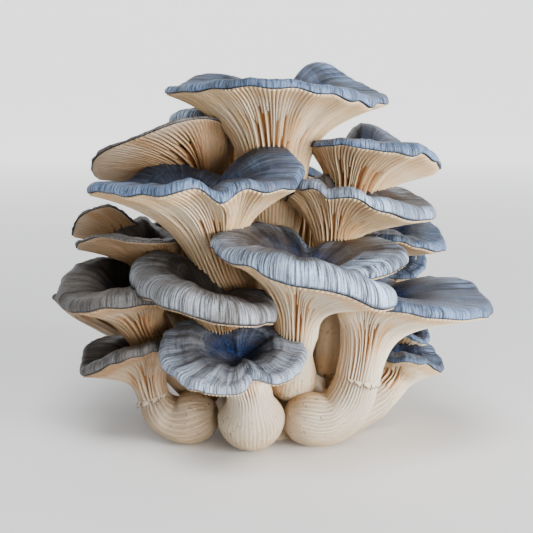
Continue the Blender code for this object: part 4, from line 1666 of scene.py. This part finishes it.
@dataclass(frozen=True)
class FleshFinish:
    """Cream flesh: painted warm shade between the gills, white and fibrous on the stem and its foot.

    Attributes:
        name: the material's name.
        cream, white: the flesh of the gills and of the foot.
        hollow: the painted shade between the gills, a warm brown.
        under: the gills near the margin, and the fibres.
        speck: the specks and torn spots of the foot.
        stain: the patches on the foot, and the brown that grows towards the ground.
        dusk: painted shade, what sheltered flesh is multiplied by.
        tan: painted shade, what flesh that faces left is multiplied by.
        roughness, glow: how matt it is, and how much light passes under its surface.
        glow_reach, glow_scale: how far each colour of that light goes, in this many metres.
    """

    name: str
    cream: Colour = (0.90, 0.77, 0.60, 1.0)
    white: Colour = (0.78, 0.70, 0.56, 1.0)
    hollow: Colour = (0.53, 0.310, 0.150, 1.0)
    under: Colour = (0.72, 0.61, 0.47, 1.0)
    speck: Colour = (0.20, 0.12, 0.06, 1.0)
    stain: Colour = (0.62, 0.44, 0.25, 1.0)
    dusk: Colour = (0.98, 0.80, 0.59, 1.0)
    tan: Colour = (0.62, 0.55, 0.47, 1.0)
    roughness: float = 0.62
    glow: float = 0.22
    glow_reach: Point = (1.0, 0.55, 0.3)
    glow_scale: float = 0.003

    def material(self) -> bpy.types.Material:
        """Makes the material: gills and stem, then the marks of the foot, then painted shade on the side
        facing left and where sheltered.

        Returns:
            The material.
        """
        graph = Graph(self.name)
        fan = graph.attribute("fan", "Vector")
        path = graph.attribute("path", "Fac")
        place = graph.add("ShaderNodeTexCoord").outputs["Object"]
        fibres = graph.noise(fan, (34.0, 34.0, 2.0), 4.0, 0.65)
        threads = graph.noise(fan, (110.0, 110.0, 7.0), 3.0, 0.65)
        blotches = graph.noise(place, even(60.0), 4.0, 0.55)
        splits = graph.noise(fan, (7.0, 7.0, 30.0), 3.0, 0.6)
        grain = graph.noise(place, even(1500.0), 2.0, 0.5)
        base = graph.mix(graph.span(path, -0.35, 0.15), self.white, self.cream)
        base = graph.mix(graph.span(path, 0.72, 1.0, 0.0, 0.4), base, self.under)
        base = graph.mix(graph.span(fibres, 0.35, 0.75, 0.0, 0.35), base, self.under)
        base = graph.mix(graph.span(threads, 0.42, 0.72, 0.0, 0.35), base, self.under)
        base = graph.mix(graph.span(blotches, 0.45, 0.75, 0.0, 0.35), base, self.cream)
        base = self.painted_valley_shade(graph, base, path)
        base = self.marked(graph, base, path, place, blotches, splits)
        # Painted shade: flesh that faces left is darkened, mostly on the gills, as if lit from the right.
        sideways = graph.add("ShaderNodeSeparateXYZ", in_0=fan).outputs["X"]
        left = graph.span(graph.scaled_sum(sideways, (blotches, 0.5)), -0.10, -0.95, 0.0, 0.85)
        base = graph.multiplied(base, graph.product(left, graph.span(path, -0.5, 0.2, 0.3, 1.0)), self.tan)
        # Painted shade: flesh darkened where the neighbours close it in.
        closed = graph.span(graph.attribute("shelter", "Fac"), 0.12, 0.70)
        graph.feed(graph.shader.inputs["Base Color"], graph.multiplied(base, closed, self.dusk))
        graph.shader.inputs["Roughness"].default_value = self.roughness
        graph.shader.inputs["Subsurface Weight"].default_value = self.glow
        graph.shader.inputs["Subsurface Radius"].default_value = self.glow_reach
        graph.shader.inputs["Subsurface Scale"].default_value = self.glow_scale
        normal = graph.bump(splits, 0.25, 0.0005)
        normal = graph.bump(fibres, 0.6, 0.0008, normal)
        normal = graph.bump(threads, 1.0, 0.0008, normal)
        normal = graph.bump(grain, 0.2, 0.0002, normal)
        graph.feed(graph.shader.inputs["Normal"], normal)
        return graph.material

    def painted_valley_shade(self, graph: Graph, base: object, path: object) -> bpy.types.NodeSocket:
        """The colour, with painted shade between the gills: browner in the valleys.

        Args:
            graph: the material's nodes.
            base: the colour so far.
            path: how far along the mushroom.

        Returns:
            The socket with the colour.
        """
        # Painted shade: the valley mask browns the gaps between gills and the grooves of the stem.
        valley = graph.attribute("valley", "Fac")
        low = graph.span(path, -0.5, 0.15, 0.35, 1.0)
        fading = graph.span(path, 0.45, 1.0, 1.0, 0.85)
        share = graph.product(graph.math("POWER", valley, 1.5), graph.product(low, fading))
        return graph.mix(share, base, self.hollow)

    def marked(
        self, graph: Graph, base: object, path: object, place: object, blotches: object, splits: object
    ) -> bpy.types.NodeSocket:
        """The colour with the stains, specks and torn spots of the foot, browner towards the ground.

        Args:
            graph: the material's nodes.
            base: the colour so far.
            path: how far along the mushroom.
            place: the object's own coordinates.
            blotches, splits: two noises, broad and across the fibres.

        Returns:
            The socket with the colour.
        """
        foot = graph.span(path, -0.95, -0.35, 1.0, 0.0)
        stained = graph.product(graph.span(blotches, 0.43, 0.63), foot, 0.6)
        base = graph.mix(stained, base, self.stain)
        specks = graph.noise(place, even(420.0), 2.0, 0.5)
        base = graph.mix(graph.product(graph.span(specks, 0.64, 0.69), foot, 0.8), base, self.speck)
        base = graph.mix(graph.product(graph.span(splits, 0.66, 0.70), foot, 0.6), base, self.speck)
        # Browner towards the ground.
        height = graph.add("ShaderNodeSeparateXYZ", in_0=place).outputs["Z"]
        browner_near_ground = graph.span(graph.scaled_sum(height, (blotches, 0.016)), 0.001, 0.020, 0.7, 0.0)
        return graph.mix(browner_near_ground, base, self.stain)


# The shaded flesh is a darker copy for the mushrooms on the left: painted shade.
FLESHES = {
    Tone.DUSKY: FleshFinish(
        "gill_flesh_dusky",
        cream=(0.58, 0.46, 0.335, 1.0),
        white=(0.54, 0.45, 0.335, 1.0),
        under=(0.44, 0.335, 0.235, 1.0),
        dusk=(0.84, 0.68, 0.50, 1.0),
        tan=(0.76, 0.70, 0.62, 1.0),
    ),
    Tone.GREY: FleshFinish("gill_flesh_tan", cream=(0.78, 0.65, 0.49, 1.0), dusk=(0.66, 0.53, 0.38, 1.0)),
    Tone.SILVER: FleshFinish("gill_flesh"),
    Tone.PALE: FleshFinish("gill_flesh_white", cream=(0.90, 0.80, 0.66, 1.0)),
    Tone.DEEP: FleshFinish("gill_flesh_pale", cream=(0.91, 0.79, 0.63, 1.0), tan=(0.72, 0.66, 0.59, 1.0)),
}


# The shaded skin is a darker, greyer copy for the mushrooms on the left, darkened as painted shade.
SKINS = {
    Tone.DUSKY: CapFinish(
        "cap_skin_dusky",
        deep=(0.008, 0.008, 0.009, 1.0),
        shade=(0.078, 0.074, 0.070, 1.0),
        middle=(0.078, 0.074, 0.070, 1.0),
        pale=(0.080, 0.077, 0.075, 1.0),
        lip=(0.082, 0.079, 0.078, 1.0),
        silver=(0.135, 0.133, 0.133, 1.0),
        blue=(0.016, 0.020, 0.030, 1.0),
        warm=(0.100, 0.080, 0.062, 1.0),
    ),
    Tone.GREY: CapFinish(
        "cap_skin_grey",
        deep=(0.006, 0.007, 0.010, 1.0),
        shade=(0.026, 0.025, 0.025, 1.0),
        middle=(0.070, 0.068, 0.067, 1.0),
        pale=(0.105, 0.105, 0.106, 1.0),
        lip=(0.115, 0.118, 0.122, 1.0),
        silver=(0.360, 0.400, 0.455, 1.0),
        blue=(0.010, 0.016, 0.032, 1.0),
    ),
    Tone.SILVER: CapFinish(
        "cap_skin_silver",
        deep=(0.006, 0.012, 0.034, 1.0),
        shade=(0.022, 0.023, 0.027, 1.0),
        middle=(0.060, 0.060, 0.064, 1.0),
        pale=(0.092, 0.108, 0.138, 1.0),
        lip=(0.118, 0.150, 0.205, 1.0),
        silver=(0.540, 0.720, 0.990, 1.0),
        blue=(0.014, 0.055, 0.200, 1.0),
        hollow=0.49,
    ),
    Tone.PALE: CapFinish(
        "cap_skin_pale",
        deep=(0.006, 0.014, 0.044, 1.0),
        shade=(0.040, 0.048, 0.068, 1.0),
        middle=(0.125, 0.145, 0.180, 1.0),
        pale=(0.205, 0.235, 0.280, 1.0),
        lip=(0.205, 0.240, 0.290, 1.0),
        silver=(0.470, 0.580, 0.760, 1.0),
        blue=(0.014, 0.060, 0.230, 1.0),
        warm=(0.190, 0.178, 0.170, 1.0),
        hollow=0.34,
    ),
    Tone.DEEP: CapFinish(
        "cap_skin_deep",
        deep=(0.007, 0.016, 0.052, 1.0),
        shade=(0.034, 0.043, 0.064, 1.0),
        middle=(0.052, 0.070, 0.112, 1.0),
        pale=(0.068, 0.096, 0.156, 1.0),
        lip=(0.066, 0.098, 0.165, 1.0),
        silver=(0.200, 0.300, 0.480, 1.0),
        blue=(0.018, 0.068, 0.230, 1.0),
        warm=(0.084, 0.084, 0.090, 1.0),
        hollow=0.48,
    ),
}


@dataclass(frozen=True)
class BaseBuilder:
    """Builds the lump at the bottom, where the stems grow together.

    Attributes:
        radius, depth: half its width and half its depth.
        height: how far it rises.
        middle: where its middle is on the ground.
        seed: picks its lumps.
        cut: how far above the ground it is cut off, in metres.
    """

    radius: float = 32.0
    depth: float = 41.0
    height: float = 35.0
    middle: tuple[float, float] = (2.0, 4.0)
    seed: int = 5
    cut: float = 0.00001

    def build(self) -> bpy.types.Object:
        """Makes the lump from a sphere, cut off at the ground.

        Returns:
            The finished piece.
        """
        bpy.ops.object.select_all(action="DESELECT")
        bpy.ops.mesh.primitive_uv_sphere_add(segments=96, ring_count=60, radius=1.0)
        piece = bpy.context.active_object
        piece.name = "base_flesh_lump"
        mesh = piece.data
        mesh.name = piece.name
        places = np.empty(len(mesh.vertices) * 3)
        mesh.vertices.foreach_get("co", places)
        places = places.reshape(-1, 3)
        around = np.arctan2(places[:, 1], places[:, 0])
        lumps = 1 + 0.04 * Ripples(self.seed, (3, 9)).at(around) - 0.03
        places *= np.array([self.radius, self.depth, self.height]) * MM
        places *= lumps[:, None]
        places[:, :2] += np.array(self.middle) * MM
        mesh.vertices.foreach_set("co", places.ravel())
        bpy.ops.object.mode_set(mode="EDIT")
        bpy.ops.mesh.select_all(action="SELECT")
        bpy.ops.mesh.bisect(plane_co=(0, 0, self.cut), plane_no=(0, 0, 1), use_fill=True, clear_inner=True)
        bpy.ops.mesh.select_all(action="SELECT")
        bpy.ops.mesh.normals_make_consistent(inside=False)
        bpy.ops.object.mode_set(mode="OBJECT")
        bpy.ops.object.shade_smooth_by_angle(angle=math.radians(50))
        return piece


@dataclass(frozen=True)
class Studio:
    """The floor with its backdrop, the lights and the camera, in metres and radians.

    Attributes:
        lens: the camera's focal length, in millimetres.
        distance, elevation: how far it is from the target, and how far it looks down.
        target: what it looks at.
        lights: name, place, size and power of each lamp.
        room_colour, room_strength: the light of the room all round.
        floor_colour, floor_size, floor_steps: the floor, and how finely it is divided.
        bend_from, bend_radius: where the floor starts to curve up, and how widely.
        glow_from, glow_to, glow_strength: where the floor's glow starts and is full.
    """

    lens: float = 70.0
    distance: float = 0.518
    elevation: float = math.radians(10)
    target: Point = (0.0, 0.0, 0.078)
    lights: tuple[tuple[str, Point, float, float], ...] = (
        ("key", (1.05, -0.62, 0.16), 0.5, 33.0),
        ("front", (0.55, -1.10, 0.10), 0.5, 13.0),
        ("top", (-0.05, -0.50, 1.1), 0.6, 12.0),
    )
    room_colour: Colour = (0.90, 0.95, 1.0, 1.0)
    room_strength: float = 0.26
    floor_colour: Colour = (0.94, 0.94, 0.94, 1.0)
    floor_size: float = 12.0
    floor_steps: int = 80
    bend_from: float = 2.2
    bend_radius: float = 1.2
    glow_from: float = 0.20
    glow_to: float = 1.8
    glow_strength: float = 1.3

    def build(self) -> None:
        """Sets up everything round the cluster."""
        self.add_floor()
        self.add_camera()
        for name, place, size, power in self.lights:
            self.add_light(name, place, size, power)
        world = bpy.data.worlds.new("pale_room")
        world.use_nodes = True
        background = world.node_tree.nodes["Background"]
        background.inputs["Color"].default_value = self.room_colour
        background.inputs["Strength"].default_value = self.room_strength
        bpy.context.scene.world = world

    def add_floor(self) -> None:
        """Adds the plain pale floor, which curves up far behind and glows a little far away."""
        bpy.ops.object.select_all(action="DESELECT")
        steps = self.floor_steps
        bpy.ops.mesh.primitive_grid_add(x_subdivisions=steps, y_subdivisions=steps, size=self.floor_size)
        floor = bpy.context.active_object
        floor.name = "floor"
        places = np.empty(len(floor.data.vertices) * 3)
        floor.data.vertices.foreach_get("co", places)
        places = places.reshape(-1, 3)
        past = np.maximum(places[:, 1] - self.bend_from, 0)
        turn = np.minimum(past / self.bend_radius, math.pi / 2)
        straight = np.maximum(past - self.bend_radius * math.pi / 2, 0)
        bent = self.bend_from + self.bend_radius * np.sin(turn)
        places[:, 1] = np.where(past > 0, bent, places[:, 1])
        places[:, 2] = self.bend_radius * (1 - np.cos(turn)) + straight
        floor.data.vertices.foreach_set("co", places.ravel())
        bpy.ops.object.shade_smooth()
        graph = Graph("floor_paint")
        place = graph.add("ShaderNodeTexCoord").outputs["Object"]
        away = graph.add("ShaderNodeVectorMath", operation="LENGTH", in_0=place).outputs["Value"]
        glow = graph.span(away, self.glow_from, self.glow_to, 0.0, self.glow_strength)
        graph.shader.inputs["Base Color"].default_value = self.floor_colour
        graph.shader.inputs["Roughness"].default_value = 0.8
        graph.shader.inputs["Emission Color"].default_value = (1.0, 1.0, 1.0, 1.0)
        graph.feed(graph.shader.inputs["Emission Strength"], glow)
        floor.data.materials.append(graph.material)
        floor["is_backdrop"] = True

    def add_camera(self) -> None:
        """Adds the camera where the photograph was taken from."""
        aim = Vector(self.target)
        back = Vector((0, -math.cos(self.elevation), math.sin(self.elevation)))
        place = aim + back * self.distance
        bpy.ops.object.camera_add(location=place, rotation=(math.pi / 2 - self.elevation, 0, 0))
        camera = bpy.context.active_object
        camera.name = "camera"
        camera.data.lens = self.lens
        camera.data.sensor_width = 36.0
        camera.data.clip_start = 0.01
        bpy.context.scene.camera = camera

    def add_light(self, name: str, place: Point, size: float, power: float) -> None:
        """Adds a soft square light that faces the cluster.

        Args:
            name: its name.
            place: where it stands.
            size: how wide it is.
            power: how strong it is, in watts.
        """
        bpy.ops.object.light_add(type="AREA", location=place)
        light = bpy.context.active_object
        light.name = name
        light.data.size = size
        light.data.energy = power
        light.rotation_euler = (Vector(self.target) - Vector(place)).to_track_quat("-Z", "Y").to_euler()


@dataclass
class Cluster:
    """The whole cluster: its base, its mushrooms and the torn skin on two of them.

    Attributes:
        mushrooms: all its mushrooms.
    """

    mushrooms: tuple[Mushroom, ...]

    def build(self, low: Array, high: Array) -> None:
        """Builds and dresses every piece.

        Args:
            low, high: corners of the room that the cluster may fill, in metres.
        """
        fleshes = {tone: finish.material() for tone, finish in FLESHES.items()}
        skins = {tone: finish.material() for tone, finish in SKINS.items()}
        shelter = Shelter()
        room = Room(low, high, shelter, shelter.tree(self.mushrooms))
        # The base takes the shaded flesh: painted shade down among the stems.
        self.dress(BaseBuilder().build(), fleshes[Tone.DUSKY], "base")
        for mushroom in self.mushrooms:
            cap = CapBuilder().build(mushroom, room)
            self.dress(cap, skins[mushroom.tone], mushroom.name + "_cap")
            stem = StemBuilder().build(mushroom, room)
            self.dress(stem, fleshes[mushroom.tone], mushroom.name + "_stem")
        torn_skin = VeilFinish("torn_veil").material()
        named = {mushroom.name: mushroom for mushroom in self.mushrooms}
        for veil in VEILS:
            self.dress(veil.build(named[veil.mushroom]), torn_skin, None)

    def dress(
        self, piece: bpy.types.Object, material: bpy.types.Material, node: str | None
    ) -> None:
        """Gives a piece its material and hides the solid it stands for, if any.

        Args:
            piece: the piece.
            material: its finish.
            node: the solid that it replaces, or none.
        """
        piece.data.materials.clear()
        piece.data.materials.append(material)
        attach(piece, BODY)
        if node is not None:
            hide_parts(node)
        LOG.info("%s: %d faces", piece.name, len(piece.data.polygons))


def main() -> None:
    """Builds the scene."""
    logging.basicConfig(level=logging.INFO, format="%(message)s")
    cad_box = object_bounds()
    low, high = (np.array(corner) for corner in cad_box)
    Studio().build()
    Cluster(MUSHROOMS).build(low, high)


if __name__ == "__main__":
    main()
